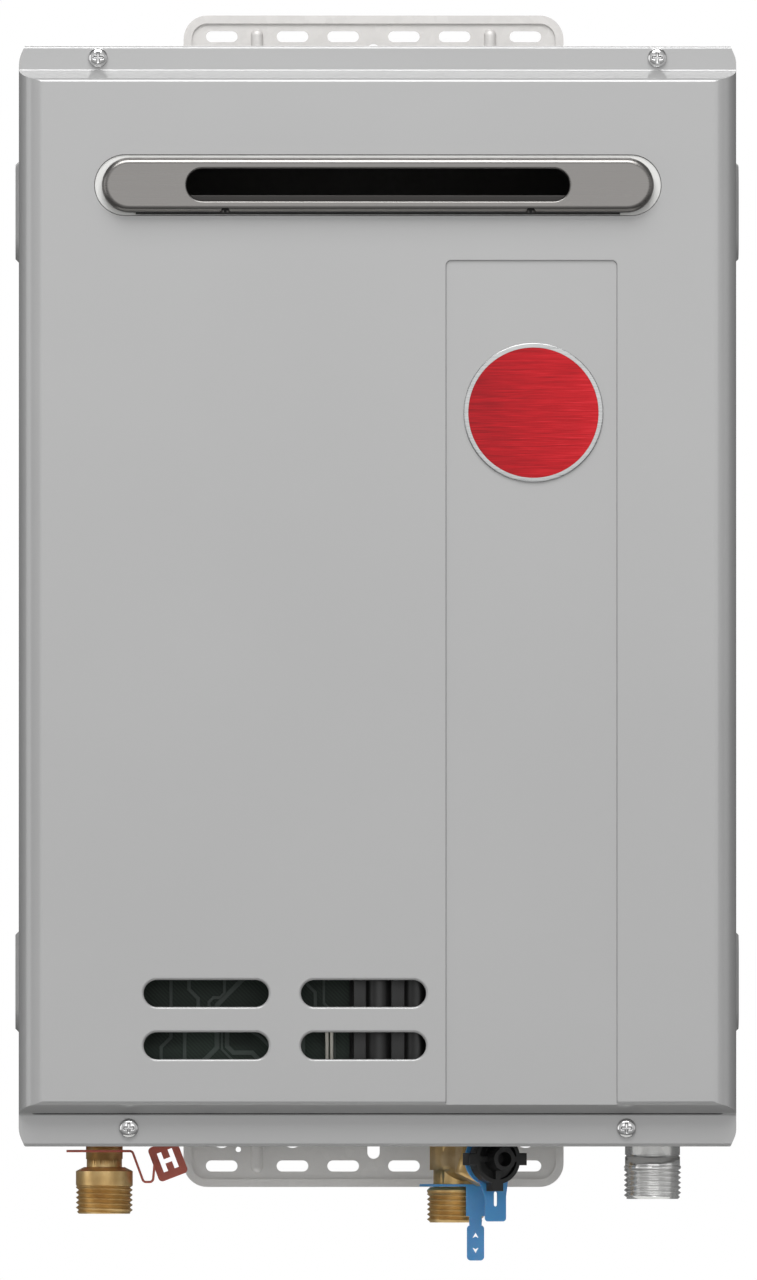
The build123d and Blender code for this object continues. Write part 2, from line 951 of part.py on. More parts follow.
def exchanger_tubes():
    reach = stack_half + pass_reach
    points = []
    for step, y in enumerate(pass_places()):
        sides = (-reach, reach) if step % 2 == 0 else (reach, -reach)
        points += [(x, y, tube_level()) for x in sides]
    points[0] = (tube_end_x(), pass_places()[0], tube_level())
    points[-1] = (tube_end_x(), pass_places()[-1], tube_level())
    return tube(points, pass_bend, tube_radius, tube_radius - tube_wall)


def coil_line():
    # the coil's centre line lies just off the jacket
    return stack_half + fit_gap + tube_radius


def coil_start():
    return (coil_line(), stack_back - coil_start_set, burner_top + coil_rise)


def wrap_coil():
    side = coil_line()
    front = stack_front - fit_gap - tube_radius
    back = stack_back + fit_gap + tube_radius
    x, y, level = coil_start()
    step = coil_pitch / 4
    points = [
        (x, y, level - coil_lead),
        (x, y, level),
        (side, front, level + step),
        (-side, front, level + 2 * step),
        (-side, back, level + 3 * step),
        (side, back, level + 4 * step),
        (side, front, level + 5 * step),
        (-side, front, level + 6 * step),
    ]
    tail = coil_tail(level + 7 * step)
    bends = [coil_bend] * (len(points) - 1) + [coil_end_bend] * (len(tail) - 1)
    return tube(points + tail, bends, tube_radius, tube_radius - tube_wall)


def coil_tail(level):
    # leaves the jacket's side and turns into the first finned tube
    side = -coil_line()
    out = side - coil_outset
    first = pass_places()[0]
    middle = (stack_front + stack_back) / 2
    return [
        (side, middle, level),
        (out, (middle + first) / 2, (level + tube_level()) / 2),
        (out, first, tube_level()),
        (tube_end_x(), first, tube_level()),
    ]


def burner_box():
    box = open_box(stack_half, stack_back, stack_front, plenum_top, burner_top, stack_wall)
    for x in nozzle_places():
        box -= rod_y(x, rail_level(), nozzle_radius + fit_gap, stack_front + overrun, stack_front - overrun)
    for x in (-rod_spread, rod_spread):
        box -= rod_y(x, rod_level(), ceramic_radius + seat_gap, stack_front + overrun, stack_front - overrun)
    return box


def nozzle_places():
    return [bar_pitch * (place - (bar_count - 1) / 2) for place in range(bar_count)]


def rail_level():
    return plenum_top + rail_rise + rail_height / 2


def rod_level():
    return burner_top - rod_drop


def burner_bars():
    low = plenum_top + bar_foot
    front = stack_front + stack_wall
    back = stack_back - stack_wall
    half = bar_width / 2
    top = low + bar_height
    blade = outline([(-half, low), (-half, top), (half, top), (half, low)], [0, bar_crown, bar_crown, 0])
    bar = along_y(blade, back, front)
    port = bar_port_width / 2
    bar -= block(-port, port, front + bar_width, back - bar_width, top - bar_port_depth, top + overrun)
    bar -= rod_y(0, rail_level(), nozzle_radius + fit_gap, front + bar_width, front - overrun)
    return group(Pos(x, 0, 0) * bar for x in nozzle_places())


def rail_back():
    return stack_front - nozzle_length + stack_wall


def gas_rail():
    half = rail_length / 2
    low = rail_level() - rail_height / 2
    rail = block(-half, half, rail_back() - rail_depth, rail_back(), low, low + rail_height)
    return fillet(rail.edges().filter_by(Axis.X), rail_edge)


def gas_nozzles():
    nozzles = []
    for x in nozzle_places():
        nozzle = rod_y(x, rail_level(), nozzle_radius, rail_back() + nozzle_length, rail_back())
        nozzles.append(nozzle - rod_y(x, rail_level(), nozzle_bore, rail_back() + nozzle_length, rail_back()))
    return group(nozzles)


def electrode(x):
    outside = stack_front + ceramic_inside
    rod = rod_y(x, rod_level(), ceramic_radius, outside, outside - ceramic_length)
    return rod + rod_y(x, rod_level(), pin_radius, outside + pin_length, outside - ceramic_length / 2)


def electrodes():
    # the spark electrode on the left and the flame rod on the right
    return group(electrode(x) for x in (-rod_spread, rod_spread))


def air_plenum():
    plenum = open_box(stack_half, stack_back, stack_front, plenum_low, plenum_top, stack_wall)
    plenum += block(-stack_half, stack_half, stack_front, stack_back, plenum_low, plenum_low + stack_wall)
    low, high = outlet_limits()
    hole = block(
        low + scroll_wall,
        high - scroll_wall,
        fan_front + scroll_wall,
        fan_back - scroll_wall,
        plenum_low - overrun,
        plenum_low + stack_wall + overrun,
    )
    return plenum - hole


def outlet_limits():
    return fan_x + scroll_radius - outlet_width, fan_x + scroll_radius


def scroll_face(inset, top):
    low, high = outlet_limits()
    disc = Pos(fan_x, fan_z) * Circle(scroll_radius - inset)
    throat = Pos((low + high) / 2, (fan_z + top) / 2) * Rectangle(high - low - 2 * inset, top - fan_z)
    return disc + throat


def fan_housing():
    housing = along_y(scroll_face(0, plenum_low), fan_back, fan_front)
    hollow = scroll_face(scroll_wall, plenum_low + overrun)
    housing -= along_y(hollow, fan_back - scroll_wall, fan_front + scroll_wall)
    housing -= rod_y(fan_x, fan_z, inlet_eye_radius, fan_back + overrun, fan_back - scroll_wall - overrun)
    shaft_hole = hub_radius + fit_gap
    return housing - rod_y(fan_x, fan_z, shaft_hole, fan_front + scroll_wall + overrun, fan_front - overrun)


def fan_impeller():
    # forward-curved blades between a web and a ring, on a hub
    front = impeller_front()
    back = front + impeller_width
    web = rod_y(fan_x, fan_z, impeller_radius, front + web_thickness, front)
    hub = rod_y(fan_x, fan_z, hub_radius, front + shaft_inside, front)
    ring_face = Pos(fan_x, fan_z) * (Circle(impeller_radius) - Circle(impeller_radius - blade_reach))
    wheel = web + hub + along_y(ring_face, back, back - ring_height)
    middle = impeller_radius - blade_reach / 2
    for step in range(impeller_blades):
        blade = Rot(0, 0, blade_pitch_angle) * Rectangle(blade_reach, blade_thickness)
        face = Pos(fan_x, fan_z) * Rot(0, 0, 360 / impeller_blades * step) * Pos(middle, 0) * blade
        wheel += along_y(face, back, front)
    return wheel - rod_y(fan_x, fan_z, shaft_radius + seat_gap, back + overrun, front - overrun)


def impeller_front():
    return fan_front + scroll_wall + (fan_depth - 2 * scroll_wall - impeller_width) / 2


def fan_shaft():
    return rod_y(fan_x, fan_z, shaft_radius, impeller_front() + shaft_inside, fan_front - motor_length / 2)


def fan_motor():
    motor = rod_y(fan_x, fan_z, motor_radius, fan_front, fan_front - motor_length)
    motor = fillet(motor.edges().group_by(Axis.Y)[0], motor_edge)
    bore_end = fan_front - motor_length / 2 - seat_gap
    return motor - rod_y(fan_x, fan_z, shaft_radius + seat_gap, fan_front + overrun, bore_end)


def ignition_module():
    left = -wall_inside
    front = flange_y + module_set - module_depth
    top = burner_top - module_drop
    module = block(left, left + module_width, front, front + module_depth, top - module_height, top)
    return fillet(module.edges().filter_by(Axis.X), module_edge)


def ignition_lead():
    # from the module's inner face to the spark electrode's outer end
    start_x = -wall_inside + module_width
    middle_y = flange_y + module_set - module_depth / 2
    level = burner_top - module_drop - module_height / 2
    tip = stack_front + ceramic_inside - ceramic_length
    run = tip - lead_proud
    points = [
        (start_x, middle_y, level),
        (start_x + 2 * lead_bend, middle_y, level),
        (start_x + 3 * lead_bend, run, level),
        (-rod_spread, run, rod_level()),
        (-rod_spread, tip, rod_level()),
    ]
    return wire(points, lead_bend, lead_radius)


def stack_stays():
    # channels that hold the stack off the back of the case
    half = stay_width / 2
    inner = half - stay_wall
    stays = []
    for level in (jacket_top - stay_height, plenum_top):
        low = level - stay_height / 2
        high = level + stay_height / 2
        stay = block(-half, half, stack_back, case_inside, low, high)
        stay -= block(-inner, inner, stack_back + stay_wall, case_inside, low + stay_wall, high - stay_wall)
        stays.append(stay)
    return group(stays)


def pipe_thread(length, band, start_radius, shoulder):
    # from Z = 0 down: a sloped shoulder, a plain band, ring grooves with flat crests and a chamfered end
    core = thread_radius - thread_depth
    mouth = thread_radius - thread_chamfer
    root = thread_pitch * root_share
    flank = thread_pitch * (1 - crest_share - root_share) / 2
    points = [(0, 0), (start_radius, 0), (thread_radius, -shoulder)]
    for turn in range(int((length - band - thread_chamfer) / thread_pitch)):
        top = -band - turn * thread_pitch
        points += [
            (thread_radius, top),
            (core, top - flank),
            (core, top - flank - root),
            (thread_radius, top - flank - root - flank),
        ]
    points += [(thread_radius, thread_chamfer - length), (mouth, -length), (0, -length)]
    return revolve(Plane.XZ * make_face(Polyline(*points, close=True)), axis=Axis.Z)


def flats(x, y, across, sides, z0, z1):
    turn = 180 / sides if sides == 8 else 0
    face = Pos(x, y) * RegularPolygon(across / 2, sides, major_radius=False, rotation=turn)
    return along_z(face, z0, z1)


def seat_flange(x, y):
    face = Pos(x, y) * RectangleRounded(fitting_flange_width, fitting_flange_depth, fitting_flange_corner)
    flange = along_z(face, floor_top, flange_top)
    for side in (-1, 1):
        hole = small_shank_radius + seat_gap
        flange -= rod_z(x + side * fitting_screw_x, y, hole, floor_top - overrun, flange_top + overrun)
    return flange


def hot_outlet():
    end = -half_height - hot_end
    thread_top = end + hot_thread
    collar_top = thread_top + hot_collar
    fitting = seat_flange(hot_x, water_y) + flats(hot_x, water_y, hot_flats, 8, collar_top, flange_top)
    fitting += rod_z(hot_x, water_y, hot_collar_radius, thread_top, collar_top)
    thread = pipe_thread(hot_thread, hot_band, hot_shoulder_start, hot_shoulder)
    fitting += Pos(hot_x, water_y, thread_top) * thread
    # a short port for the bypass pipe
    boss = flange_top + 2 * bypass_rise
    fitting += rod_z(hot_x, water_y, water_bore + pipe_wall * 2, flange_top, boss)
    port_x = hot_x + fitting_flange_width / 2
    fitting += rod_x(water_y, flange_top + bypass_rise, bypass_radius + pipe_wall, hot_x, port_x)
    fitting -= rod_x(water_y, flange_top + bypass_rise, bypass_radius - bypass_wall, hot_x, port_x + overrun)
    return fitting - rod_z(hot_x, water_y, water_bore - pipe_wall, end - overrun, boss + overrun)


def gas_inlet():
    end = -half_height - gas_end
    thread_top = end + gas_thread
    fitting = seat_flange(gas_x, gas_y) + rod_z(gas_x, gas_y, gas_radius, thread_top, flange_top)
    shoulder = thread_radius - gas_radius
    fitting += Pos(gas_x, gas_y, thread_top) * pipe_thread(gas_thread, gas_band, gas_radius, shoulder)
    groove = Circle(gas_radius + overrun) - Circle(gas_radius - gas_groove_depth)
    groove_top = floor_low - gas_groove_drop
    fitting -= along_z(Pos(gas_x, gas_y) * groove, groove_top - gas_groove_width, groove_top)
    return fitting - rod_z(gas_x, gas_y, gas_bore, end - overrun, flange_top + overrun)


def along_filter(body):
    # carries a body drawn along +Z onto the filter branch's axis
    return Pos(cold_x, water_y, filter_z) * Rot(0, 0, filter_angle) * Rot(90, 0, 0) * body


def cold_inlet():
    end = -half_height - cold_end
    thread_top = end + cold_thread
    neck_top = thread_top + cold_neck
    fitting = seat_flange(cold_x, water_y) + flats(cold_x, water_y, cold_flats, 6, neck_top, flange_top)
    fitting += rod_z(cold_x, water_y, cold_neck_radius, thread_top, neck_top)
    thread = pipe_thread(cold_thread, cold_band, thread_radius - thread_chamfer, thread_chamfer)
    fitting += Pos(cold_x, water_y, thread_top) * thread
    branch = along_z(Circle(branch_radius), 0, branch_nut_start)
    nut = RegularPolygon(branch_nut_flats / 2, 6, major_radius=False, rotation=30)
    branch += along_z(nut, branch_nut_start, branch_nut_end)
    branch += along_z(Circle(branch_neck_radius), branch_nut_end, branch_end)
    fitting += along_filter(branch)
    fitting -= along_filter(along_z(Circle(branch_bore), 0, branch_end + overrun))
    return fitting - rod_z(cold_x, water_y, water_bore, end - overrun, flange_top + overrun)


def filter_strainer():
    # a perforated cup, open towards the pipe
    cup = along_z(Circle(strainer_radius), strainer_start, strainer_end)
    inner = strainer_radius - strainer_wall
    cup -= along_z(Circle(inner), strainer_start - overrun, strainer_end - strainer_wall)
    row_step = (strainer_end - strainer_start) / (strainer_rows + 1)
    for row in range(strainer_rows):
        level = strainer_start + row_step * (row + 1)
        for step in range(strainer_holes):
            drill = Rot(0, 0, 360 / strainer_holes * step) * Pos(0, 0, level) * Rot(0, 90, 0)
            cup -= drill * along_z(Circle(strainer_hole_radius), 0, strainer_radius + overrun)
    return along_filter(cup)


def filter_knob():
    # a lobed disc, ribbed round a hub that stands forward, on a stem that carries the ring
    end = knob_start + knob_length
    front = knob_start + knob_disc
    lobe = Pos(knob_lobe_reach / 2, 0) * Rectangle(knob_lobe_reach, knob_lobe_width)
    rib = Pos(knob_core_radius / 2, 0) * Rectangle(knob_core_radius, knob_rib_width)
    turns = [Rot(0, 0, 360 / knob_lobes * step + 90) for step in range(knob_lobes)]
    face = Circle(knob_core_radius)
    hollow = Circle(knob_hollow_radius)
    for turn in turns:
        face += turn * lobe
        hollow -= turn * rib
    grip = along_z(face, knob_start, front)
    grip = fillet(grip.edges().group_by(Axis.Z)[-1], knob_edge)
    grip -= along_z(hollow, front - knob_hollow_depth, front + overrun)
    grip += along_z(Circle(knob_hub_radius), knob_start, end)
    grip -= along_z(Circle(knob_bore), end - knob_bore_depth, end + overrun)
    grip += along_z(Circle(stem_radius), strainer_end + seat_gap, knob_start)
    groove = Circle(stem_radius) - Circle(ring_centre() - ring_tube_radius)
    low = ring_place - ring_tube_radius - seat_gap
    grip -= along_z(groove, low, ring_place + ring_tube_radius + seat_gap)
    return along_filter(grip)


def ring_centre():
    return branch_bore - seat_gap - ring_tube_radius


def filter_ring():
    return along_filter(Pos(0, 0, ring_place) * Torus(ring_centre(), ring_tube_radius))


def grommets():
    # soft rings between the bottom panel and each connection, and one for the supply cable
    rings = [cable_grommet()]
    for x, y, radius in pipe_holes():
        inner = Circle(radius + seat_gap)
        ring = along_z(Circle(radius + grommet_wall) - inner, floor_low, floor_top)
        lip = Circle(radius + grommet_wall + grommet_lip) - inner
        ring += along_z(lip, floor_low - grommet_wall, floor_low)
        rings.append(Pos(x, y, 0) * ring)
    return group(rings)


def cable_grommet():
    hole = Pos(cable_x, -cable_set) * Circle(cable_bore)
    body = Pos(cable_x, -cable_set) * Circle(cable_hole - seat_gap)
    lip = Pos(cable_x, -cable_set) * Circle(cable_hole + cable_lip)
    ring = along_z(body - hole, floor_low, floor_top)
    ring += along_z(lip - hole, floor_low - cable_lip, floor_low)
    return ring + along_z(lip - hole, floor_top, floor_top + cable_lip)


def sensor_top():
    return flange_top + sensor_height


def flow_sensor():
    sensor = rod_z(cold_x, water_y, sensor_radius, flange_top, sensor_top())
    sensor -= rod_z(cold_x, water_y, sensor_bore, flange_top - overrun, sensor_top() + overrun)
    port = bypass_radius + pipe_wall
    end = cold_x - fitting_flange_width / 2
    side = rod_x(water_y, flange_top + bypass_rise, port, end, cold_x)
    sensor += side - rod_z(cold_x, water_y, sensor_bore, flange_top - overrun, sensor_top())
    sensor -= rod_x(water_y, flange_top + bypass_rise, bypass_radius - bypass_wall, end - overrun, cold_x)
    # a spider carries the rotor's axle
    low = rotor_low() - spider_height - seat_gap
    reach = (sensor_bore + sensor_radius) / 2
    arm = Pos(reach / 2, 0) * Rectangle(reach, spider_width)
    face = Circle(rotor_hub_radius)
    for step in range(spider_arms):
        face += Rot(0, 0, 360 / spider_arms * step) * arm
    sensor += Pos(cold_x, water_y, 0) * along_z(face, low, low + spider_height)
    return sensor + rod_z(cold_x, water_y, axle_radius, low, low + axle_height)


def rotor_low():
    return flange_top + sensor_height / 2


def flow_rotor():
    low = rotor_low()
    face = Circle(rotor_hub_radius)
    for step in range(rotor_vanes):
        vane = Pos(rotor_radius / 2, 0) * Rectangle(rotor_radius, vane_thickness)
        face += Rot(0, 0, 360 / rotor_vanes * step) * vane
    face &= Circle(rotor_radius)
    return Pos(cold_x, water_y, 0) * along_z(face - Circle(axle_radius + seat_gap), low, low + rotor_height)


def valve_top():
    return sensor_top() + valve_height


def water_valve():
    half = valve_size / 2
    valve = block(cold_x - half, cold_x + half, water_y - half, water_y + half, sensor_top(), valve_top())
    valve = fillet(valve.edges().filter_by(Axis.Z), valve_edge)
    bore = pipe_radius - pipe_wall
    return valve - rod_z(cold_x, water_y, bore, sensor_top() - overrun, valve_top() + overrun)


def valve_motor():
    front = water_y - valve_size / 2
    level = (sensor_top() + valve_top()) / 2
    motor = rod_y(cold_x, level, valve_motor_radius, front, front - valve_motor_length)
    return fillet(motor.edges().group_by(Axis.Y)[0], valve_edge)


def cold_pipe():
    x, y, z = coil_start()
    level = valve_top() + cold_rise
    points = [
        (cold_x, water_y, valve_top()),
        (cold_x, water_y, level),
        (x, y, level),
        (x, y, z - coil_lead),
    ]
    return tube(points, pipe_bend, pipe_radius, pipe_radius - pipe_wall)


def hot_pipe():
    last = pass_places()[-1]
    level = tube_level()
    boss = flange_top + 2 * bypass_rise
    points = [
        (tube_end_x(), last, level),
        (hot_x, last, level),
        (hot_x, last, level - hot_turn_drop),
        (hot_x, water_y, level - hot_run_drop),
        (hot_x, water_y, boss),
    ]
    return tube(points, coil_end_bend, pipe_radius, pipe_radius - pipe_wall)


def bypass_pipe():
    level = flange_top + bypass_rise
    half = fitting_flange_width / 2
    pipe = rod_x(water_y, level, bypass_radius, hot_x + half, cold_x - half)
    return pipe - rod_x(water_y, level, bypass_radius - bypass_wall, hot_x, cold_x)


def overheat_switch():
    level = jacket_top - switch_drop
    switch_x = stack_half - switch_inset
    switch = rod_y(switch_x, level, switch_radius, stack_front, stack_front - switch_height)
    tab = block(
        switch_x - 2 * switch_radius,
        switch_x + 2 * switch_radius,
        stack_front - stay_wall / 2,
        stack_front,
        level - switch_radius / 2,
        level + switch_radius / 2,
    )
    return switch + tab


def gas_valve_top():
    return flange_top + gas_valve_height


def solenoid_levels():
    middle = (flange_top + gas_valve_top()) / 2
    return [middle - solenoid_spread / 2, middle + solenoid_spread / 2]


def gas_valve():
    half_w = gas_valve_width / 2
    half_d = gas_valve_depth / 2
    valve = block(gas_x - half_w, gas_x + half_w, gas_y - half_d, gas_y + half_d, flange_top, gas_valve_top())
    valve = fillet(valve.edges().filter_by(Axis.Z), gas_valve_edge)
    # room over the fitting's screws
    for side in (-1, 1):
        pocket = small_head_radius + fit_gap
        high = flange_top + small_head_height + fit_gap
        valve -= rod_z(gas_x + side * fitting_screw_x, gas_y, pocket, flange_top - overrun, high)
    inner = gas_pipe_radius - gas_pipe_wall
    return valve - rod_z(gas_x, gas_y, inner, flange_top - overrun, gas_valve_top() + overrun)


def gas_solenoids():
    front = gas_y - gas_valve_depth / 2
    coils = []
    end = front - solenoid_length
    for level in solenoid_levels():
        coil = rod_y(gas_x, level, solenoid_radius, front, end)
        bore = rod_y(gas_x, level, plunger_radius + plunger_gap, front + overrun, end + solenoid_cap)
        coils.append(coil - bore)
    return group(coils)


def plunger(level):
    # stops short of the blind end by its travel
    front = gas_y - gas_valve_depth / 2
    end = front - solenoid_length + solenoid_cap + plunger_travel + fit_gap
    return rod_y(gas_x, level, plunger_radius, front - seat_gap, end)


def safety_plunger():
    return plunger(solenoid_levels()[0])


def main_plunger():
    return plunger(solenoid_levels()[1])


def gas_pipe():
    start = gas_valve_top()
    rail_y = rail_back() - rail_depth / 2
    points = [
        (gas_x, gas_y, start),
        (gas_x, gas_y, start + gas_pipe_first),
        (gas_x, rail_y, start + gas_pipe_first + gas_pipe_second),
        (gas_x, rail_y, rail_level()),
        (rail_length / 2, rail_y, rail_level()),
    ]
    return tube(points, gas_pipe_bend, gas_pipe_radius, gas_pipe_radius - gas_pipe_wall)


def board_limits():
    low = floor_top + board_low
    return low, floor_top + tray_height - board_high


def boss_places():
    low, high = board_limits()
    return [
        (x, z)
        for x in (board_left + board_hole_inset, board_right - board_hole_inset)
        for z in (low + board_hole_inset, high - board_hole_inset)
    ]


def control_tray():
    # a back plate on the case floor with short side walls and bosses
    back = tray_y
    front = tray_y - tray_plate
    top = floor_top + tray_height
    tray = block(tray_left, tray_right, front, back, floor_top, top)
    low = floor_top + board_low
    tray += block(tray_left, tray_left + tray_plate, front - tray_wall_depth, back, low, top)
    tray += block(tray_right - tray_plate, tray_right, front - tray_wall_depth, back, low, top)
    for x, z in boss_places():
        tray += rod_y(x, z, boss_radius, front, board_y)
        tray -= rod_y(x, z, small_shank_radius + seat_gap, back + overrun, board_y - overrun)
    return tray


def control_board():
    low, high = board_limits()
    board = block(board_left, board_right, board_y - board_thickness, board_y, low, high)
    for x, z in boss_places():
        board -= rod_y(x, z, small_shank_radius + seat_gap, board_y + overrun, board_y - overrun)
    return board


def small_screws():
    # the same screw holds the brackets, the fittings' flanges and the board
    screw = pan_screw(small_head_radius, small_head_height, small_shank_radius, small_shank_length)
    wall_seat = bracket_plate - bracket_step
    board_seat = board_y - board_thickness
    places = [Pos(x, wall_seat, z) * Rot(-90, 0, 0) for x, z in bracket_screw_places()]
    places += [Pos(x, board_seat, z) * Rot(90, 0, 0) for x, z in boss_places()]
    places += [Pos(x, y, flange_top) for x, y in fitting_screw_places()]
    return group(place * screw for place in places)


def board_parts():
    # connectors along the lower edge, relays and a plug between the slot rows, capacitors along the top
    low, high = board_limits()
    face = board_y - board_thickness
    first = board_left + 2 * board_hole_inset + small_head_radius
    last = board_right - 2 * board_hole_inset - small_head_radius
    step = (last - first) / connector_count
    middles = [first + step * (place + 1 / 2) for place in range(connector_count)]
    half = connector_width / 2
    front = face - connector_depth
    parts = [block(x - half, x + half, front, face, low + fit_gap, low + connector_height) for x in middles]
    relay_low = inlet_z - relay_height / 2
    relay_high = relay_low + relay_height
    for x, width in ((middles[0], relay_width), (middles[2], relay_width), (wire_x, relay_width / 2)):
        left = x - width / 2
        parts.append(block(left, left + width, face - relay_depth, face, relay_low, relay_high))
    for place in range(connector_count):
        x = first + capacitor_pitch * (2 * place + 1)
        parts.append(rod_y(x, high - capacitor_pitch / 2, capacitor_radius, face, face - capacitor_depth))
    return group(parts)


def power_module():
    low, high = board_limits()
    front = tray_y - tray_plate
    module = block(module_left, module_right, front - power_depth, front, low, high)
    module = fillet(module.edges().filter_by(Axis.Y), power_edge)
    # two rounded coils stand in front of the box
    middle = (module_left + module_right) / 2
    for x in (middle - power_rib_radius * 3 / 2, middle + power_rib_radius * 3 / 2):
        module += rod_z(x, front - power_depth, power_rib_radius, low + power_edge, high - power_edge)
    return module


def sensor_leads():
    # two pale leads from the board down to the flow sensor
    low, high = board_limits()
    start = inlet_z - relay_height / 2
    face = board_y - board_thickness
    run = face - wire_proud
    drop = (low + floor_top) / 2
    end = water_y - sensor_radius
    leads = []
    for place in (-1, 1):
        shift = place * wire_pitch / 2
        points = [
            (wire_x + shift, run, start),
            (wire_x + shift, run, drop - shift),
            (cold_x - shift, run, drop - shift),
            (cold_x - shift, end, drop - shift),
        ]
        leads.append(wire(points, wire_bend, wire_radius))
    return group(leads)


def terminal_block():
    # a moulded block on its own foot
    half = terminal_width / 2
    back = front_y + terminal_set
    low = floor_top + terminal_foot
    front = back - terminal_depth
    body = block(terminal_x - half, terminal_x + half, front, back, low, low + terminal_height)
    body += block(terminal_x - half, terminal_x + half, front, back + terminal_foot, floor_top, low)
    step = terminal_width / terminal_ways
    for place in range(terminal_ways):
        x = terminal_x - half + step * (place + 1 / 2)
        level = low + terminal_height / 2
        body -= rod_y(x, level, terminal_way_radius, front + terminal_depth / 2, front - overrun)
    return body


def hot_tag():
    # a ring on the outlet's flats, a strap folded back on itself and a plate with a cut letter
    level = -half_height - hot_ring_drop
    low = level - tag_thickness / 2
    half = tag_thickness / 2
    ring = along_z(Circle(hot_ring_outer) - Circle(hot_ring_inner), low, low + tag_thickness)
    # the ring ends where the strap folds down
    beyond = hot_ring_outer + overrun
    ring -= block(hot_strap_start, beyond, -beyond, beyond, low, low + tag_thickness)
    plate_left = hot_plate_x - hot_plate_width / 2
    strap = [
        (hot_strap_start - tag_thickness, level),
        (hot_strap_start + tag_thickness, level),
        (hot_strap_turn - tag_thickness * 2, level - hot_strap_fall),
        (hot_strap_turn + tag_thickness * 2, level - hot_strap_fall),
        (plate_left + tag_thickness, level - hot_plate_drop),
    ]
    ribbon = trace(FilletPolyline(*strap, radius=strap_bend), line_width=tag_thickness)
    band = along_y(ribbon, hot_strap_width / 2, -hot_strap_width / 2)
    face = RectangleRounded(hot_plate_width, hot_plate_height, hot_plate_corner) - letter_face()
    plate = Pos(hot_plate_x, level - hot_plate_drop) * Rot(0, 0, hot_plate_angle) * face
    tag = ring + band + along_y(plate, half, -half)
    return Pos(hot_x, water_y, 0) * tag


def letter_face():
    # a plain H
    place = letter_width / 2 - letter_stroke / 2
    face = Pos(-place, 0) * Rectangle(letter_stroke, letter_height)
    face += Pos(place, 0) * Rectangle(letter_stroke, letter_height)
    return face + Rectangle(letter_width, letter_stroke)


def arrow_face(level, way):
    tip = level + way * arrow_tall / 2
    base = level - way * arrow_tall / 2
    notch = level - way * arrow_tall * arrow_notch_share
    return make_face(Polyline((-arrow_half, base), (0, notch), (arrow_half, base), (0, tip), close=True))


def cold_tag():
    # a ring on the inlet's neck, a strap down its front and a plate with two arrowheads
    end = -half_height - cold_end
    low = end + cold_thread + fit_gap
    top = low + tag_thickness
    ring = along_z(Circle(cold_ring_outer) - Circle(cold_neck_radius + fit_gap), low, top)
    left = cold_strap_x - cold_strap_width / 2
    right = cold_strap_x + cold_strap_width / 2
    front = -cold_strap_set - tag_thickness
    tab = block(left, right, front, -cold_strap_x, low, top)
    tab -= along_z(Circle(cold_neck_radius + fit_gap), low - overrun, top + overrun)
    strap_low = top - cold_strap_fall
    neck_low = strap_low - cold_neck_fall
    strap = block(left, right, front, -cold_strap_set, strap_low, top)
    neck_left = cold_strap_x - cold_neck_width / 2
    neck_right = cold_strap_x + cold_neck_width / 2
    strap += block(neck_left, neck_right, front, -cold_strap_set, neck_low, strap_low)
    plate = RectangleRounded(arrow_width, arrow_height, arrow_corner)
    plate -= arrow_face(arrow_spread / 2, 1)
    plate -= arrow_face(-arrow_spread / 2, -1)
    place = Pos(cold_strap_x, neck_low - arrow_height / 2) * plate
    tag = ring + tab + strap + along_y(place, -cold_strap_set, front)
    return Pos(cold_x, water_y, 0) * tag


def filter_tag():
    # a ring on the branch's neck with a hanging plate
    left = filter_tag_shift - filter_tag_width / 2
    right = filter_tag_shift + filter_tag_width / 2
    flare = filter_tag_flare / 2
    body = outline(
        [
            (-flare, 0),
            (left, -filter_tag_shoulder),
            (left, -filter_tag_length),
            (right, -filter_tag_length),
            (right, -filter_tag_shoulder),
            (flare + filter_tag_shift / 2, 0),
        ],
        [0, filter_tag_bend, filter_tag_corner, filter_tag_corner, filter_tag_bend, 0],
    )
    face = Circle(filter_ring_outer) + body
    face -= Circle(branch_neck_radius + fit_gap)
    slot = SlotOverall(filter_slot_length, filter_slot_width, rotation=90)
    face -= Pos(filter_tag_shift, -filter_slot_place) * slot
    low = filter_ring_place - tag_thickness / 2
    return along_filter(along_z(face, low, low + tag_thickness))


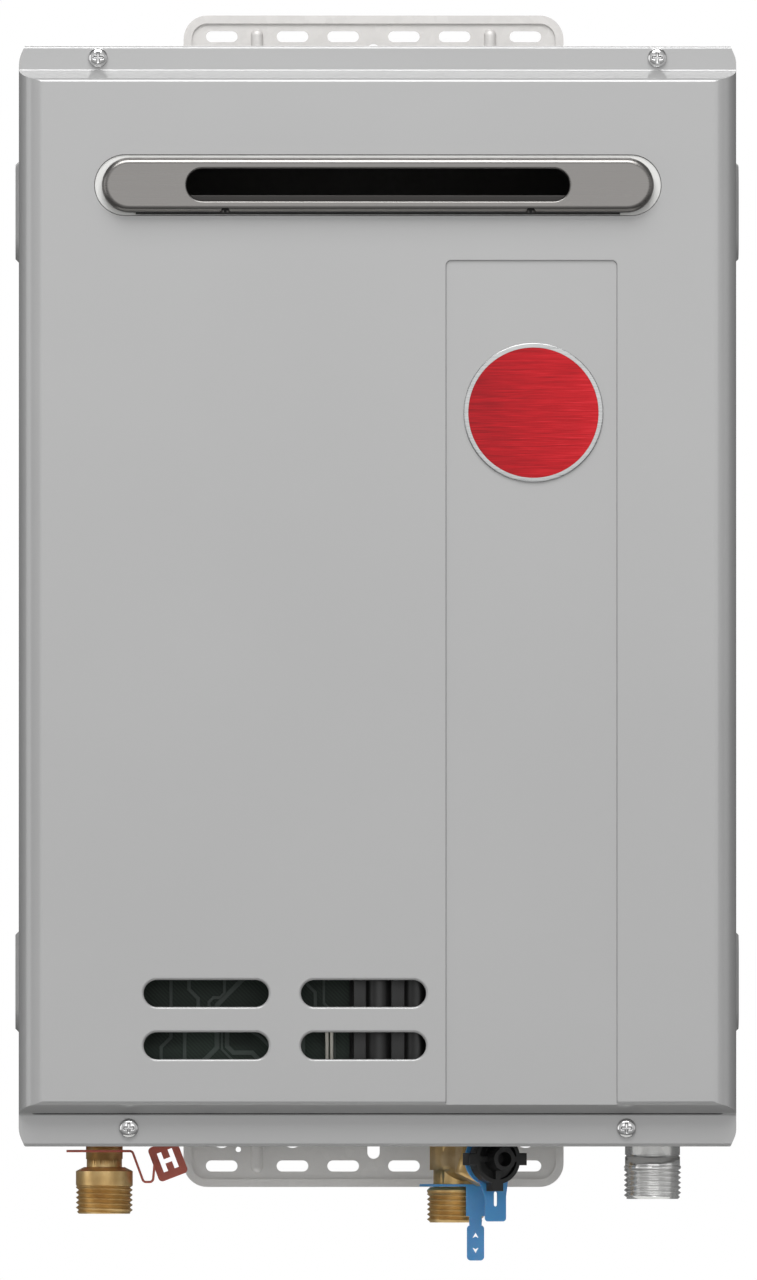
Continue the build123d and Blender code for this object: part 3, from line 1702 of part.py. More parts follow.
pieces = {
    "rear_case": rear_case,
    "top_panel": top_panel,
    "bottom_panel": bottom_panel,
    "front_cover": front_cover,
    "cover_gasket": cover_gasket,
    "cover_screws": cover_screws,
    "badge_rim": badge_rim,
    "badge_disc": badge_disc,
    "upper_wall_bracket": upper_wall_bracket,
    "lower_wall_bracket": lower_wall_bracket,
    "small_screws": small_screws,
    "exhaust_hood": exhaust_hood,
    "hood_seal": hood_seal,
    "flue_collector": flue_collector,
    "exchanger_jacket": exchanger_jacket,
    "exchanger_fins": exchanger_fins,
    "exchanger_tubes": exchanger_tubes,
    "wrap_coil": wrap_coil,
    "burner_box": burner_box,
    "burner_bars": burner_bars,
    "gas_rail": gas_rail,
    "gas_nozzles": gas_nozzles,
    "electrodes": electrodes,
    "air_plenum": air_plenum,
    "stack_stays": stack_stays,
    "fan_housing": fan_housing,
    "fan_impeller": fan_impeller,
    "fan_shaft": fan_shaft,
    "fan_motor": fan_motor,
    "ignition_module": ignition_module,
    "ignition_lead": ignition_lead,
    "hot_outlet": hot_outlet,
    "cold_inlet": cold_inlet,
    "gas_inlet": gas_inlet,
    "grommets": grommets,
    "filter_strainer": filter_strainer,
    "filter_knob": filter_knob,
    "filter_ring": filter_ring,
    "flow_sensor": flow_sensor,
    "flow_rotor": flow_rotor,
    "water_valve": water_valve,
    "valve_motor": valve_motor,
    "cold_pipe": cold_pipe,
    "hot_pipe": hot_pipe,
    "bypass_pipe": bypass_pipe,
    "overheat_switch": overheat_switch,
    "gas_valve": gas_valve,
    "gas_solenoids": gas_solenoids,
    "safety_plunger": safety_plunger,
    "main_plunger": main_plunger,
    "gas_pipe": gas_pipe,
    "control_tray": control_tray,
    "control_board": control_board,
    "board_parts": board_parts,
    "power_module": power_module,
    "sensor_leads": sensor_leads,
    "terminal_block": terminal_block,
    "hot_tag": hot_tag,
    "cold_tag": cold_tag,
    "filter_tag": filter_tag,
}

os.makedirs("parts", exist_ok=True)
for name, make in pieces.items():
    export_step(make(), f"parts/{name}.step")
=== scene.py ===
import math
import bmesh
import bpy
import numpy as np
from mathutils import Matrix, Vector


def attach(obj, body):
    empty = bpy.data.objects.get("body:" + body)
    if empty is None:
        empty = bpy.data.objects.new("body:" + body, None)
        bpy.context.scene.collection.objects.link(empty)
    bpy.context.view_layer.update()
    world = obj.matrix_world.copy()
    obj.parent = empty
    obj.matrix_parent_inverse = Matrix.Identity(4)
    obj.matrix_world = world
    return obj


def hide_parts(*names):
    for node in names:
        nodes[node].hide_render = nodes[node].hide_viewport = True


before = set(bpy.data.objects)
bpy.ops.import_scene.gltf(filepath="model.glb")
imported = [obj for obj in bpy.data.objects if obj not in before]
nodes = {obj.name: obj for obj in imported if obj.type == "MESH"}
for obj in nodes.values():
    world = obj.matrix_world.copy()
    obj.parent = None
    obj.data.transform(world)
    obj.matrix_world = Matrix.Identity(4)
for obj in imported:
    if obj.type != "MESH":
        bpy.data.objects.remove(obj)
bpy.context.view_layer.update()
mm = 0.001  # sizes below are in millimetres, the scene is in metres
print("frame loaded:", len(nodes), "nodes")


def linear(hexColour):
    # sRGB hex to linear: the low part is a straight line, the rest a power of 2.4
    srgb = np.array([int(hexColour[i:i + 2], 16) for i in (1, 3, 5)]) / 255
    low = srgb <= 0.04045
    return tuple(np.where(low, srgb / 12.92, ((srgb + 0.055) / 1.055) ** 2.4)) + (1.0,)


def perMm(size):
    # texture scale that gives features of this many millimetres on coordinates in metres
    return 1 / (size * mm)


def addNode(tree, kind, takes=None, feeds=None, stops=None, **settings):
    # one node: its settings, the sockets or values it takes, the sockets it feeds, and its colour stops
    made = tree.nodes.new(kind)
    for name, value in settings.items():
        setattr(made, name, value)
    for socket, value in (takes or {}).items():
        if isinstance(value, bpy.types.NodeSocket):
            tree.links.new(value, made.inputs[socket])
        else:
            made.inputs[socket].default_value = value
    for socket, target in (feeds or {}).items():
        tree.links.new(made.outputs[socket], target)
    if stops:
        points = made.color_ramp.elements
        while len(points) < len(stops):
            points.new(0.5)
        for point, (position, hexColour) in zip(points, stops):
            point.position = position
            point.color = linear(hexColour)
    return made


def startMaterial(name, **fixed):
    # a material with its shader; fixed values go straight on the shader's sockets
    made = bpy.data.materials.new(name)
    made.use_nodes = True
    tree = made.node_tree
    tree.nodes.clear()
    shader = addNode(tree, "ShaderNodeBsdfPrincipled", {k.replace("_", " "): v for k, v in fixed.items()})
    addNode(tree, "ShaderNodeOutputMaterial", {"Surface": shader.outputs[0]})
    place = addNode(tree, "ShaderNodeTexCoord").outputs["Object"]
    return made, tree, shader, place


noiseLow, noiseHigh = 0.3, 0.7  # most of a noise pattern's values lie between these
fineDetail = 3.0  # octaves in the fine patterns


def makeFinish(name, stops, rough, grain, peel, **fixed):
    # grain (size, stretch, detail) tints the base through the stops and carries the gloss over the rough
    # range; peel (size, stretch, height) lifts the surface; sizes and heights are in mm. A pixel of the
    # picture is about 0.5 mm, so brushing and mould texture are drawn coarser than they are
    made, tree, shader, place = startMaterial(name, **fixed)
    size, stretch, detail = grain
    along = addNode(tree, "ShaderNodeMapping", {
        "Vector": place, "Scale": [1 / s for s in stretch]}).outputs[0]
    tint = addNode(tree, "ShaderNodeTexNoise", {
        "Vector": along, "Scale": perMm(size), "Detail": detail}).outputs["Fac"]
    addNode(tree, "ShaderNodeValToRGB", {"Fac": tint}, {"Color": shader.inputs["Base Color"]}, stops)
    addNode(tree, "ShaderNodeMapRange", {
        "Value": tint, "From Min": noiseLow, "From Max": noiseHigh, "To Min": rough[0], "To Max": rough[1]},
        {"Result": shader.inputs["Roughness"]})
    size, stretch, height = peel
    along = addNode(tree, "ShaderNodeMapping", {
        "Vector": place, "Scale": [1 / s for s in stretch]}).outputs[0]
    lift = addNode(tree, "ShaderNodeTexNoise", {
        "Vector": along, "Scale": perMm(size), "Detail": fineDetail}).outputs["Fac"]
    addNode(tree, "ShaderNodeBump", {"Height": lift, "Distance": height * mm},
            {"Normal": shader.inputs["Normal"]})
    return made


spangle = {"flake": 3.5, "bloom": 30, "bloomDetail": 4.0, "ripple": 2.5, "height": 0.01}  # sizes in mm


def zincCoat(name, stops, rough):
    # zinc-coated sheet, skin-passed: almost even, a faint fine spangle with its own gloss under a dull bloom
    made, tree, shader, place = startMaterial(name, Metallic=0.2)
    flake = addNode(tree, "ShaderNodeTexVoronoi", {
        "Vector": place, "Scale": perMm(spangle["flake"])}).outputs["Color"]
    grey = addNode(tree, "ShaderNodeSeparateColor", {"Color": flake}).outputs[0]
    bloom = addNode(tree, "ShaderNodeTexNoise", {
        "Vector": place, "Scale": perMm(spangle["bloom"]), "Detail": spangle["bloomDetail"]}).outputs["Fac"]
    mixed = addNode(tree, "ShaderNodeMath", {0: grey, 1: bloom}, operation="MULTIPLY").outputs[0]
    addNode(tree, "ShaderNodeValToRGB", {"Fac": mixed}, {"Color": shader.inputs["Base Color"]}, stops)
    addNode(tree, "ShaderNodeMapRange", {"Value": grey, "To Min": rough[0], "To Max": rough[1]},
            {"Result": shader.inputs["Roughness"]})
    lift = addNode(tree, "ShaderNodeTexNoise", {
        "Vector": place, "Scale": perMm(spangle["ripple"]), "Detail": fineDetail}).outputs["Fac"]
    addNode(tree, "ShaderNodeBump", {"Height": lift, "Distance": spangle["height"] * mm},
            {"Normal": shader.inputs["Normal"]})
    return made


# painted shade and highlight: the badge's red is drawn darker at one side and lighter at the other
streaks = {"width": 0.36, "stretch": 40, "detail": 6.0, "height": 0.01,  # sizes in mm
           "half": 34, "paintedShadeEnds": (-0.14, 0.15)}  # half the span of the side-to-side shade, and its two ends


def redLacquer(name, middle, stops, rough):
    # clear red lacquer over horizontally brushed plate: streaks glow through a glossy coat; a painted
    # shade darkens the red towards one side and a painted highlight lightens it towards the other
    made, tree, shader, place = startMaterial(
        name, Metallic=0.3, Specular_IOR_Level=0.15, Coat_Weight=0.12, Coat_Roughness=0.12)
    along = addNode(tree, "ShaderNodeMapping", {
        "Vector": place, "Scale": (1 / streaks["stretch"], 1, 1)}).outputs[0]
    streak = addNode(tree, "ShaderNodeTexNoise", {
        "Vector": along, "Scale": perMm(streaks["width"]), "Detail": streaks["detail"]}).outputs["Fac"]
    # painted shade and highlight: the tint falls towards one side of the badge and rises towards the other,
    # by place across it
    axes = addNode(tree, "ShaderNodeSeparateXYZ", {0: place}).outputs
    side = addNode(tree, "ShaderNodeMapRange", {
        "Value": axes[0], "From Min": (middle[0] - streaks["half"]) * mm,
        "From Max": (middle[0] + streaks["half"]) * mm,
        "To Min": streaks["paintedShadeEnds"][0], "To Max": streaks["paintedShadeEnds"][1]}).outputs["Result"]
    tint = addNode(tree, "ShaderNodeMath", {0: streak, 1: side}, operation="ADD").outputs[0]
    addNode(tree, "ShaderNodeValToRGB", {"Fac": tint}, {"Color": shader.inputs["Base Color"]}, stops)
    addNode(tree, "ShaderNodeMapRange", {
        "Value": streak, "From Min": noiseLow, "From Max": noiseHigh, "To Min": rough[0], "To Max": rough[1]},
        {"Result": shader.inputs["Roughness"]})
    addNode(tree, "ShaderNodeBump", {"Height": streak, "Distance": streaks["height"] * mm},
            {"Normal": shader.inputs["Normal"]})
    return made


glassCloth = {"weave": 3.2, "waver": 0.4, "cloud": 22, "height": 0.01}  # mm; the weave drawn coarser to show


def solderMask(name, stops, rough):
    # satin green solder mask: the glass cloth under it shows as a faint weave with cloudy depth
    made, tree, shader, place = startMaterial(name, Specular_IOR_Level=0.25)
    weave = addNode(tree, "ShaderNodeTexWave", {
        "Vector": place, "Scale": perMm(glassCloth["weave"]), "Distortion": glassCloth["waver"]},
        bands_direction="DIAGONAL").outputs["Fac"]
    cloud = addNode(tree, "ShaderNodeTexNoise", {
        "Vector": place, "Scale": perMm(glassCloth["cloud"]), "Detail": fineDetail}).outputs["Fac"]
    cloth = addNode(tree, "ShaderNodeMath", {0: weave, 1: cloud}, operation="MULTIPLY").outputs[0]
    addNode(tree, "ShaderNodeValToRGB", {"Fac": cloth}, {"Color": shader.inputs["Base Color"]}, stops)
    addNode(tree, "ShaderNodeMapRange", {"Value": cloth, "To Min": rough[0], "To Max": rough[1]},
            {"Result": shader.inputs["Roughness"]})
    addNode(tree, "ShaderNodeBump", {"Height": weave, "Distance": glassCloth["height"] * mm},
            {"Normal": shader.inputs["Normal"]})
    return made


even = (1, 1, 1)  # stretch of a pattern along X, Y and Z
rings = (1, 1, 0.04)  # turned on an upright axis
finishes = {
    # silver-grey powder coat with a little metal flake, sprayed and baked: bends flash white, faint clouding
    "powderCoat": makeFinish("silver_grey_powder_coat", [(0.3, "#949494"), (0.7, "#999999")], (0.32, 0.42),
                             (140, even, 3.0), (1.6, even, 0.008),
                             Metallic=0.12, Coat_Weight=1.0, Coat_Roughness=0.09),
    # the same coat painted darker in a pressed fold: painted shade along the strip's step
    "foldShadePaint": makeFinish("powder_coat_painted_shade_in_fold", [(0.3, "#6e6e6e"), (0.7, "#737373")], (0.36, 0.46),
                            (140, even, 3.0), (1.6, even, 0.008),
                            Metallic=0.12, Coat_Weight=0.6, Coat_Roughness=0.15),
    # plain grey powder coat on the case: flatter, with a broader soft sheen
    "casePaint": makeFinish("case_powder_coat", [(0.3, "#a4a4a3"), (0.7, "#acacab")], (0.44, 0.56),
                            (120, even, 3.0), (1.6, even, 0.012), Coat_Weight=0.4, Coat_Roughness=0.2),
    # zinc-coated sheet; the lower bracket wears a paler copy of it as painted light
    "zinc": zincCoat("zinc_coated_steel", [(0.05, "#bebcba"), (0.3, "#c1bfbd"), (0.6, "#c5c3c1")],
                     (0.42, 0.56)),
    # the same zinc painted paler and a little glossier: painted light on the lower bracket, which sits in
    # shade under the heater
    "paintedLightZinc": zincCoat("zinc_steel_painted_paler", [(0.05, "#e9e8e6"), (0.3, "#ebeae8"), (0.6, "#eeedeb")],
                          (0.4, 0.52)),
    # bright zinc on small fixings: soft mirror with handling haze
    "zincPlate": makeFinish("zinc_plated_fixing", [(0.3, "#a9a9a6"), (0.7, "#c4c4c0")], (0.22, 0.38),
                            (6, even, 4.0), (1.0, even, 0.004), Metallic=1.0),
    # chrome plate: mirror with a trace of haze
    "chrome": makeFinish("chrome_plated_steel", [(0.3, "#c9c9c9"), (0.7, "#dedede")], (0.06, 0.14),
                         (4, even, 4.0), (1.2, even, 0.004), Metallic=1.0),
    # satin ring: fine brushing that catches the light at one side
    "brushedRim": makeFinish("brushed_silver_rim", [(0.3, "#939494"), (0.7, "#b6b7b7")], (0.24, 0.38),
                             (0.5, (30, 1, 1), 5.0), (0.5, (30, 1, 1), 0.002),
                             Metallic=1.0, Anisotropic=0.35),
    # belt-brushed stainless sheet: long fine streaks, warm grey
    "stainless": makeFinish("brushed_stainless", [(0.3, "#757371"), (0.7, "#797775")], (0.26, 0.32),
                            (0.45, (120, 1, 1), 5.0), (0.45, (120, 1, 1), 0.0015),
                            Metallic=1.0, Anisotropic=0.3),
    # annealed stainless: duller, heat-toned
    "stainlessDull": makeFinish("annealed_stainless", [(0.3, "#6f6c68"), (0.7, "#97938d")], (0.4, 0.55),
                                (6, (8, 1, 1), 4.0), (1.5, even, 0.005), Metallic=1.0),
    # stainless drawn dark grey, dry: painted shade for the inside seen through the hood's slot
    "paintedDarkSteel": makeFinish("stainless_painted_dark", [(0.3, "#383634"), (0.7, "#484643")], (0.55, 0.7),
                            (9, even, 4.0), (1.5, even, 0.02), Metallic=0.3),
    # heat-darkened stainless: near black with a brown cast, half matt
    "smokedSteel": makeFinish("heat_darkened_stainless", [(0.3, "#1b1917"), (0.7, "#221f1d")], (0.5, 0.62),
                              (9, (8, 1, 1), 4.0), (1.5, even, 0.005), Metallic=0.3),
    # moulded silicone: pale, soft matt
    "silicone": makeFinish("pale_silicone", [(0.3, "#cfcfcd"), (0.7, "#d8d8d6")], (0.5, 0.64),
                           (18, even, 3.0), (0.8, even, 0.02)),
    # moulded rubber: black and matt
    "rubber": makeFinish("black_rubber", [(0.3, "#121212"), (0.7, "#1b1b1b")], (0.62, 0.78),
                         (18, even, 3.0), (0.8, even, 0.03)),
    # drawn and brazed copper: warm metal with heat-browned and pinkish patches
    "copper": makeFinish("brazed_copper", [(0.32, "#8a5138"), (0.45, "#b87352"),
                                           (0.58, "#d18d66"), (0.72, "#c27a5c")],
                         (0.42, 0.24), (38, even, 5.0), (1.4, even, 0.006), Metallic=1.0),
    # turned brass: lathe rings across the axis and tan to golden tarnish
    "brass": makeFinish("turned_brass", [(0.3, "#c9a46b"), (0.5, "#d9b77b"), (0.7, "#e8ca93")], (0.4, 0.3),
                        (9, even, 4.0), (10, rings, 0.008), Metallic=0.7),
    # nickel plate over turned brass: bright silver
    "nickel": makeFinish("nickel_plated_brass", [(0.3, "#ebebea"), (0.5, "#f0f0ef"), (0.7, "#f5f5f4")],
                         (0.16, 0.22), (9, even, 4.0), (10, rings, 0.0015), Metallic=0.8),
    # die-cast aluminium: dull silver skin with fine pitting
    "castAlloy": makeFinish("die_cast_alloy", [(0.3, "#8f9091"), (0.7, "#b4b5b6")], (0.58, 0.42),
                            (1.2, even, 5.0), (1.2, even, 0.05), Metallic=0.9),
    # glazed ceramic: creamy, wet gloss
    "ceramic": makeFinish("glazed_ceramic", [(0.3, "#e2dfd6"), (0.7, "#efece4")], (0.1, 0.22),
                          (18, even, 3.0), (3.0, even, 0.005)),
    # moulded plastic: even colour, spark-eroded mould texture, soft sheen
    "blackPlastic": makeFinish("moulded_black_plastic", [(0.3, "#121212"), (0.7, "#1a1a1a")], (0.32, 0.46),
                               (18, even, 3.0), (0.5, even, 0.02)),
    # the same plastic in a duller, greyer black
    "trayPlastic": makeFinish("moulded_tray_plastic", [(0.3, "#1e1f1f"), (0.7, "#262727")], (0.43, 0.57),
                              (18, even, 3.0), (0.5, even, 0.02)),
    "board": solderMask("solder_mask_board", [(0.1, "#212b26"), (0.45, "#25342a"), (0.7, "#293c2f")],
                        (0.55, 0.42)),
    # copper tracks under the mask: a paler, greyer green
    "track": makeFinish("masked_copper_track", [(0.3, "#333f39"), (0.7, "#3c4842")], (0.45, 0.55),
                        (5, even, 3.0), (0.6, even, 0.01)),
    # solder: dull silver
    "solder": makeFinish("tin_solder", [(0.3, "#8d8f8f"), (0.7, "#a9abab")], (0.3, 0.45),
                         (1.2, even, 3.0), (0.8, even, 0.02), Metallic=1.0),
    # extruded sleeves on the leads: even, smooth, a soft highlight along each lead
    "paleLead": makeFinish("pale_pvc_lead", [(0.3, "#b9b7ad"), (0.7, "#c8c6bc")], (0.38, 0.52),
                           (18, even, 3.0), (1.0, even, 0.01)),
    "darkLead": makeFinish("dark_silicone_lead", [(0.3, "#2a2222"), (0.7, "#352c2b")], (0.43, 0.57),
                           (18, even, 3.0), (1.0, even, 0.01)),
    # flexible moulded tags: even colour with a little light passing through
    "redTag": makeFinish("red_brown_tag_plastic", [(0.3, "#c06453"), (0.7, "#cb6f5d")], (0.42, 0.54),
                         (18, even, 3.0), (0.6, even, 0.015), Subsurface_Weight=0.4, Subsurface_Scale=0.003),
    "blueTag": makeFinish("blue_tag_plastic", [(0.3, "#4598d5"), (0.7, "#53a4de")], (0.36, 0.48),
                          (18, even, 3.0), (0.6, even, 0.015), Subsurface_Weight=0.5, Subsurface_Scale=0.004),
    # paper sweep under the heater: pale, fully matt
    "paper": makeFinish("pale_paper_floor", [(0.3, "#e8e8e6"), (0.7, "#ebebe9")], (0.75, 0.85),
                        (18, even, 3.0), (2.0, even, 0.01)),
}
wearers = {
    "powderCoat": "front_cover",
    "casePaint": "rear_case top_panel bottom_panel",
    "zinc": "upper_wall_bracket stack_stays fan_housing air_plenum fan_motor",
    "paintedLightZinc": "lower_wall_bracket",
    "zincPlate": "small_screws gas_pipe fan_shaft safety_plunger main_plunger",
    "chrome": "cover_screws",
    "brushedRim": "badge_rim",
    "stainless": "exhaust_hood filter_strainer",
    "stainlessDull": "burner_box burner_bars",
    "paintedDarkSteel": "flue_collector",
    "silicone": "hood_seal",
    "rubber": "cover_gasket grommets filter_ring",
    "copper": "exchanger_jacket exchanger_fins exchanger_tubes wrap_coil cold_pipe hot_pipe bypass_pipe",
    "brass": "hot_outlet cold_inlet gas_nozzles water_valve",
    "nickel": "gas_inlet",
    "castAlloy": "gas_rail gas_valve",
    "ceramic": "electrodes",
    "blackPlastic": "filter_knob flow_sensor valve_motor power_module ignition_module gas_solenoids "
                    "terminal_block overheat_switch board_parts fan_impeller flow_rotor",
    "trayPlastic": "control_tray",
    "board": "control_board",
    "paleLead": "sensor_leads",
    "darkLead": "ignition_lead",
    "redTag": "hot_tag",
    "blueTag": "cold_tag filter_tag",
}
for finishName, wearerNames in wearers.items():
    for nodeName in wearerNames.split():
        nodes[nodeName].data.materials.clear()
        nodes[nodeName].data.materials.append(finishes[finishName])
print("finishes given:", len(finishes))


def gridFaces(rows, columns, closed=False):
    # quads between neighbours of a rows by columns grid; closed joins the last column to the first
    r = np.arange(rows - 1)[:, None]
    c = np.arange(columns if closed else columns - 1)[None, :]
    after = (c + 1) % columns
    corners = (r * columns + c, (r + 1) * columns + c, (r + 1) * columns + after, r * columns + after)
    return np.stack([np.broadcast_to(k, (r.size, c.size)) for k in corners], -1).reshape(-1, 4)


def closeEnds(points):
    # closes both ends of an outline carried along a line: each end's points meet at their mean
    # (the outline's last point repeats its first, so the mean leaves it out)
    ends = [np.broadcast_to(points[:-1, k].mean(0), (len(points), 1, 3)) for k in (0, -1)]
    points = np.concatenate([ends[0], points, ends[1]], 1)
    return points, gridFaces(*points.shape[:2])


joinGap = {"piece": 0.002, "node": 0.005}  # points nearer than this, in mm, become one


def putPiece(name, parts, finish, body, replaced=(), crease=32.0, base=None):
    # parts are (points in mm, quads); they are joined, doubled points merged, and the piece rides on its body
    made = base or bmesh.new()
    for points, quads in parts:
        loose = bpy.data.meshes.new("part")
        loose.from_pydata((points.reshape(-1, 3) * mm).tolist(), [], quads.tolist())
        made.from_mesh(loose)
        bpy.data.meshes.remove(loose)
    bmesh.ops.remove_doubles(made, verts=made.verts, dist=joinGap["piece"] * mm)
    bmesh.ops.dissolve_degenerate(made, edges=made.edges, dist=joinGap["piece"] * mm)
    for face in made.faces:
        face.smooth = True
    mesh = bpy.data.meshes.new(name)
    made.to_mesh(mesh)
    made.free()
    mesh.set_sharp_from_angle(angle=math.radians(crease))
    mesh.materials.clear()
    mesh.materials.append(finishes[finish])
    piece = bpy.data.objects.new(name, mesh)
    bpy.context.scene.collection.objects.link(piece)
    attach(piece, body)
    for nodeName in replaced:
        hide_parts(nodeName)
    return piece


def mergedCopy(nodeName):
    # a working copy of a node's mesh with its loose triangles joined
    made = bmesh.new()
    made.from_mesh(nodes[nodeName].data)
    bmesh.ops.remove_doubles(made, verts=made.verts, dist=joinGap["node"] * mm)
    return made


def turnProfile(radius, height, columns):
    # a profile turned round the Z axis: x = r cos a, y = r sin a, z = h, with a from 0 to a full turn
    angle = np.linspace(0, 2 * np.pi, columns, endpoint=False)[None, :]
    radius, height = np.asarray(radius, float)[:, None], np.asarray(height, float)[:, None]
    points = np.stack([radius * np.cos(angle), radius * np.sin(angle), height + 0 * angle], -1)
    return points, gridFaces(len(radius), columns, True)


pipeThread = {"radius": 13.35, "pitch": 2.35, "depth": 1.25, "chamfer": 1.4, "columns": 128, "perTurn": 8,
              "steep": 1.3, "land": 0.12, "runIn": 0.5, "lap": 0.6}  # flank slope, flat crest, fade, overlap
fittings = {  # axis, thread top and end, plain band, shoulder, bore
    "hot_outlet": {"name": "hotThread", "axis": (-127.3, -85.0), "top": -266.8, "end": -288.7, "band": 8.4,
                   "shoulder": (9.6, 1.9), "bore": 7.1, "finish": "brass", "slot": "brass"},
    "cold_inlet": {"name": "coldThread", "axis": (37.5, -85.0), "top": -276.2, "end": -292.8, "band": 2.2,
                   "shoulder": (11.95, 1.4), "bore": 8.0, "finish": "brass", "slot": "brass"},
    "gas_inlet": {"name": "gasThread", "axis": (129.6, -105.0), "top": -266.0, "end": -281.7, "band": 1.0,
                  "shoulder": (12.9, 0.45), "bore": 9.5, "finish": "nickel", "slot": "nickel_plate"},
}


def threadTurns(fit, t):
    # a V thread: height falls by one pitch a turn, radius dips as a triangle wave of the phase, cut off
    # flat at crest and root; the cut fades in below the band and stays inside the end's chamfer
    angle = np.linspace(0, 2 * np.pi, t["columns"] + 1)[None, :]
    first = fit["top"] - fit["band"]
    turns = math.ceil((first - fit["end"]) / t["pitch"]) + 1
    phase = np.arange(-t["perTurn"], turns * t["perTurn"] + 1)[:, None] / t["perTurn"]
    height = np.clip(first - t["pitch"] * (phase + angle / (2 * np.pi)), fit["end"], first)
    cut = np.clip(t["steep"] * (1 - np.abs(1 - 2 * (phase % 1))) - t["land"], 0, 1)
    fade = np.clip((first - height) / (t["runIn"] * t["pitch"]), 0, 1)
    radius = np.minimum(t["radius"] - t["depth"] * cut * fade,
                        t["radius"] - t["chamfer"] + height - fit["end"])
    points = np.stack([radius * np.cos(angle), radius * np.sin(angle), height], -1)
    return points, gridFaces(*height.shape)


for nodeName, fit in fittings.items():
    t = pipeThread
    upper = mergedCopy(nodeName)
    everything = list(upper.verts) + list(upper.edges) + list(upper.faces)
    bmesh.ops.bisect_plane(upper, geom=everything, plane_co=(0, 0, fit["top"] * mm), plane_no=(0, 0, 1),
                           clear_inner=True)
    start, rise = fit["shoulder"]
    neck = turnProfile([start - t["lap"], start, t["radius"], t["radius"]],
                       [fit["top"], fit["top"], fit["top"] - rise, fit["top"] - fit["band"]], t["columns"])
    bore = turnProfile([t["radius"] - t["chamfer"], fit["bore"], fit["bore"]],
                       [fit["end"], fit["end"], fit["top"]], t["columns"])
    parts = [(points + np.array([*fit["axis"], 0]), quads)
             for points, quads in (neck, threadTurns(fit, t), bore)]
    putPiece(fit["name"], parts, fit["finish"], "case", [nodeName], crease=30.0, base=upper)
print("threads cut:", len(fittings))

coverScrew = {"radius": 4.6, "height": 2.8, "armLength": 2.3, "armWidth": 0.5, "recess": 1.7, "soft": 0.7,
              "power": 0.75, "shank": (2.0, 9.0), "point": (0.6, 1.2),  # shank radius and length, its tip
              "plane": -170.0, "rows": 44, "columns": 96,
              "places": [(-130.6, 251.5), (130.6, 251.5), (-116.2, -248.4), (116.2, -248.4)]}


def panHead(s):
    # a superellipse dome: radius goes with the sine of a and height with its cosine, both to one power;
    # a cross recess with soft walls is taken off it, and a shank with a blunt point added
    a = np.linspace(0, np.pi / 2, s["rows"])[:, None]
    angle = np.linspace(0, 2 * np.pi, s["columns"], endpoint=False)[None, :]
    radius = s["radius"] * np.sin(a) ** s["power"]
    x, y = radius * np.cos(angle), radius * np.sin(angle)
    height = s["height"] * np.clip(np.cos(a), 0, 1) ** s["power"] + 0 * angle
    arms = [np.clip((s["armWidth"] - np.abs(u)) / s["soft"] + 0.5, 0, 1)
            * np.clip((s["armLength"] - np.abs(v)) / s["soft"] + 0.5, 0, 1) for u, v in ((x, y), (y, x))]
    height = height - s["recess"] * np.maximum(*arms)
    head = np.stack([x, y, height], -1)
    (reach, length), (narrowing, tip) = s["shank"], s["point"]
    shank = turnProfile([s["radius"], reach, reach, reach * narrowing, 0],
                        [0, 0, -length, -length - tip, -length - tip], s["columns"])
    return [(head, gridFaces(s["rows"], s["columns"], True)), shank]


def faceFront(points, x, y, z):
    # carries a shape drawn along +Z onto the -Y direction at a place
    return np.stack([x + points[..., 0], y - points[..., 2], z + points[..., 1]], -1)


screwParts = [(faceFront(points, x, coverScrew["plane"], z), quads)
              for x, z in coverScrew["places"] for points, quads in panHead(coverScrew)]
putPiece("panScrews", screwParts, "chrome", "cover", ["cover_screws"], crease=38.0)
print("cover screws made:", len(coverScrew["places"]))

badge = {"middle": (72.6, 85.5), "plane": -179.2, "radius": 30.4, "reach": 32.6, "height": 1.1, "crown": 0.15,
         "edge": 0.5, "gap": 0.05, "arc": 7, "rows": 30, "columns": 128}
finishes["lacquer"] = redLacquer("red_lacquered_plate", badge["middle"],
                                 [(0.28, "#8a0d16"), (0.46, "#a20f19"), (0.62, "#b2131d"),
                                  (0.8, "#c4222c")], (0.5, 0.36))


def badgeDisc(b):
    # a slightly crowned disc: height falls with the square of the radius, then drops at its rim
    share = np.concatenate([np.linspace(0, 1, b["rows"]), [1.0, 0.0]])
    height = np.append(b["height"] - b["crown"] * share[:-2] ** 2, [0.0, 0.0])
    return turnProfile(b["radius"] * share, height, b["columns"])


def badgeRing(b):
    # a flat band round the disc whose outer edge turns down as a quarter circle
    a = np.linspace(0, np.pi / 2, b["arc"])
    top = b["height"] - b["crown"]
    inner = b["radius"] + b["gap"]
    radius = np.concatenate([[inner, inner], b["reach"] - b["edge"] * (1 - np.sin(a)), [b["reach"], inner]])
    height = np.concatenate([[0, top], top - b["edge"] * (1 - np.cos(a)), [0, 0]])
    return turnProfile(radius, height, b["columns"])


def onBadge(shape):
    # sets a badge shape on the cover's strip
    points, quads = shape
    return faceFront(points, badge["middle"][0], badge["plane"], badge["middle"][1]), quads


putPiece("badgePlate", [onBadge(badgeDisc(badge))], "lacquer", "cover", ["badge_disc"])
putPiece("badgeRing", [onBadge(badgeRing(badge))], "brushedRim", "cover", ["badge_rim"])
print("badge made")

stripEdge = {"middle": 71.7, "half": 40.0, "top": 156.7, "foot": -236.6, "corner": 2.5, "face": -180.0,
             "depth": 0.8, "width": 0.5, "proud": 0.03, "sunk": 0.3, "arc": 7, "steps": 9}


